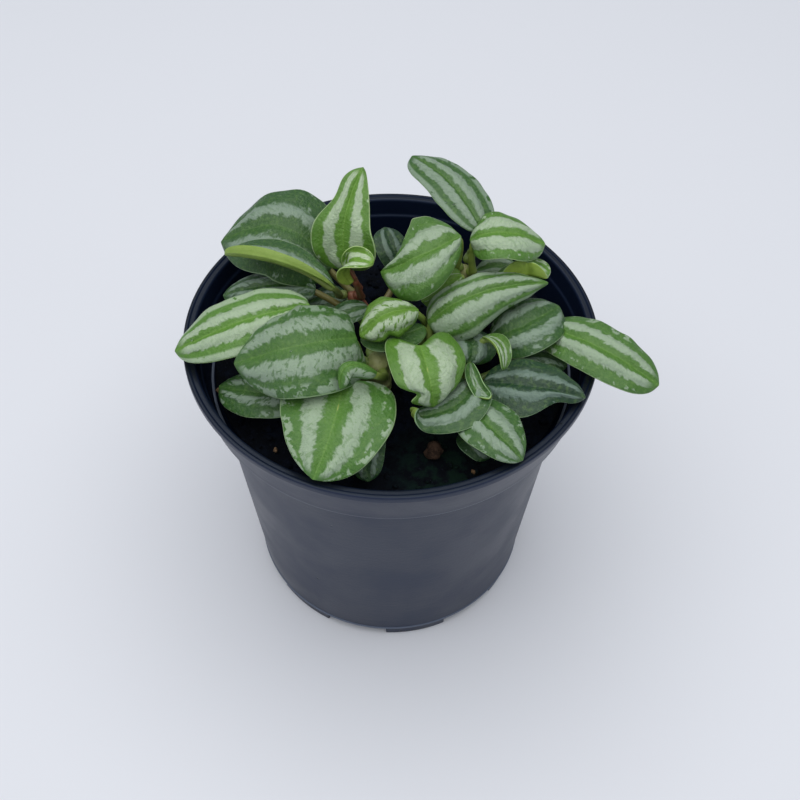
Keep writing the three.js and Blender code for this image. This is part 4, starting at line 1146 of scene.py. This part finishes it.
def makeLeaves():
    materials = [upperMaterial(), underMaterial(), marginMaterial(), stalkMaterial()]
    for index, (name, row) in enumerate(leaves.items()):
        leaf = {**leafDefaults, **row}
        shared = {key: leaf[key] for key in ("widest", "blunt", "tipFall", "tipBlunt")}
        for side in ("leftSide", "rightSide"):
            leaf[side] = {**sideDefaults, **shared, **row.get(side, {})}
        leaf["seed"] = leafShape["seedStep"] * (index + 1)
        leaf["thin"] = min(max(leaf["width"] / leafShape["fullWidth"], leafShape["thinnest"]), 1)
        base, middle, tip = [Vector(leaf[k]) for k in ("base", "mid", "tip")]
        leaf["length"] = (middle - base).length + (tip - middle).length
        leaves[name] = leaf
        makeLeaf(name, leaf, materials)
    print("leaves done")


# water drops on some leaves: (leaf, s, t, radius in millimetres)
drops = [
    ("leaf_front_dewy", 0.62, -0.25, 0.42), ("leaf_front_dewy", 0.74, 0.3, 0.5),
    ("leaf_front_dewy", 0.8, -0.05, 0.34), ("leaf_front_dewy", 0.86, 0.45, 0.4),
    ("leaf_front_dewy", 0.9, -0.4, 0.3), ("leaf_front_dewy", 0.7, 0.62, 0.28),
    ("leaf_front_dewy", 0.93, 0.1, 0.3), ("leaf_left_long", 0.86, 0.06, 0.34),
    ("leaf_front_broad", 0.42, -0.66, 0.26), ("leaf_top_back", 0.3, -0.55, 0.36),
    ("leaf_top_back", 0.36, -0.72, 0.26), ("leaf_left_domed", 0.55, -0.1, 0.3),
    ("leaf_centre_heart", 0.45, 0.78, 0.28), ("leaf_right_mid", 0.5, -0.4, 0.26),
]
dropShape = dict(flat=0.62, around=20, down=12)


def makeDrops():
    material, tree, shader = newMaterial("water", Roughness=0.03, IOR=1.33, Transmission_Weight=1.0)
    ripple = noiseValue(tree, objectPlace(tree), 600, 1)
    bumped(tree, shader, ripple, 0.00002)
    bm = bmesh.new()
    for name, s, t, radius in drops:
        leaf = leaves[name]
        place, facing, half = bladePoint(leaf, s, t)
        rise = leafShape["faceRise"] * leaf["thin"] * (1 - t * t) + faceRelief(leaf, s, t, half)
        turn = frameAlong((place + facing * rise) * mm, facing, Vector((0, 1, 0)))
        shape = Matrix.Diagonal((radius * mm, radius * mm, radius * dropShape["flat"] * mm, 1))
        bmesh.ops.create_uvsphere(bm, u_segments=dropShape["around"], v_segments=dropShape["down"],
                                  radius=1, matrix=turn @ shape)
    finishPiece(bm, "water_drops", [material], smooth=0)
    print("drops done")


# floor, light and camera
studio = dict(
    floor="#e6e9f0", floorCloud="#d3d8e0", floorSize=3, world="#d9e4f7", worldStrength=0.22,
    keyPower=23.0, keySize=2.0, keyColor=(1, 0.985, 0.96), keyPlace=(-0.06, -0.1, 1.25),
    keyAim=(0, 0, 0.09),
)
view = dict(place=(0, -173.7, 272.5), pitch=50.65, yaw=0.8, roll=0.99, lens=45, sensor=36, nearest=0.01)


def makeStudio():
    bm = bmesh.new()
    bmesh.ops.create_grid(bm, x_segments=1, y_segments=1, size=studio["floorSize"])
    mesh = bpy.data.meshes.new("floor")
    bm.to_mesh(mesh)
    bm.free()
    material, tree, shader = newMaterial("floor_paper", Roughness=0.75, Specular_IOR_Level=0.3)
    cloud = noiseValue(tree, objectPlace(tree), 8, 2)
    shade = mixed(tree, times(tree, cloud, 0.1), studio["floor"], studio["floorCloud"])
    fill(tree, shader, {"Base Color": shade})
    mesh.materials.append(material)
    floor = bpy.data.objects.new("floor", mesh)
    bpy.context.scene.collection.objects.link(floor)

    world = bpy.data.worlds.new("studio")
    bpy.context.scene.world = world
    world.use_nodes = True
    sky = world.node_tree.nodes["Background"]
    sky.inputs["Color"].default_value = hexColor(studio["world"])
    sky.inputs["Strength"].default_value = studio["worldStrength"]
    key = bpy.data.lights.new("key", "AREA")
    key.energy = studio["keyPower"]
    key.size = studio["keySize"]
    key.color = studio["keyColor"]
    lamp = bpy.data.objects.new("key", key)
    bpy.context.scene.collection.objects.link(lamp)
    lamp.location = studio["keyPlace"]
    aim = Vector(studio["keyAim"]) - lamp.location
    lamp.rotation_euler = aim.to_track_quat("-Z", "Y").to_euler()
    bpy.context.scene.view_settings.view_transform = "Standard"


def makeCamera():
    lens = bpy.data.cameras.new("camera")
    lens.lens = view["lens"]
    lens.sensor_width = view["sensor"]
    lens.clip_start = view["nearest"]
    camera = bpy.data.objects.new("camera", lens)
    bpy.context.scene.collection.objects.link(camera)
    pitch, yaw, roll = (math.radians(view[a]) for a in ("pitch", "yaw", "roll"))
    ahead = Vector((math.sin(yaw) * math.cos(pitch), math.cos(yaw) * math.cos(pitch), -math.sin(pitch)))
    right = Vector((math.cos(yaw), -math.sin(yaw), 0))
    over = right.cross(ahead)
    right, over = (right * math.cos(roll) + over * math.sin(roll),
                   over * math.cos(roll) - right * math.sin(roll))
    turn = Matrix((right, over, -ahead)).transposed().to_4x4()
    camera.matrix_world = Matrix.Translation(Vector(view["place"]) * mm) @ turn
    bpy.context.scene.camera = camera


makeCamera()
makeStudio()
makePot()
makeSoil()
makeCrumbs()
makeStems()
makeLeaves()
makeDrops()
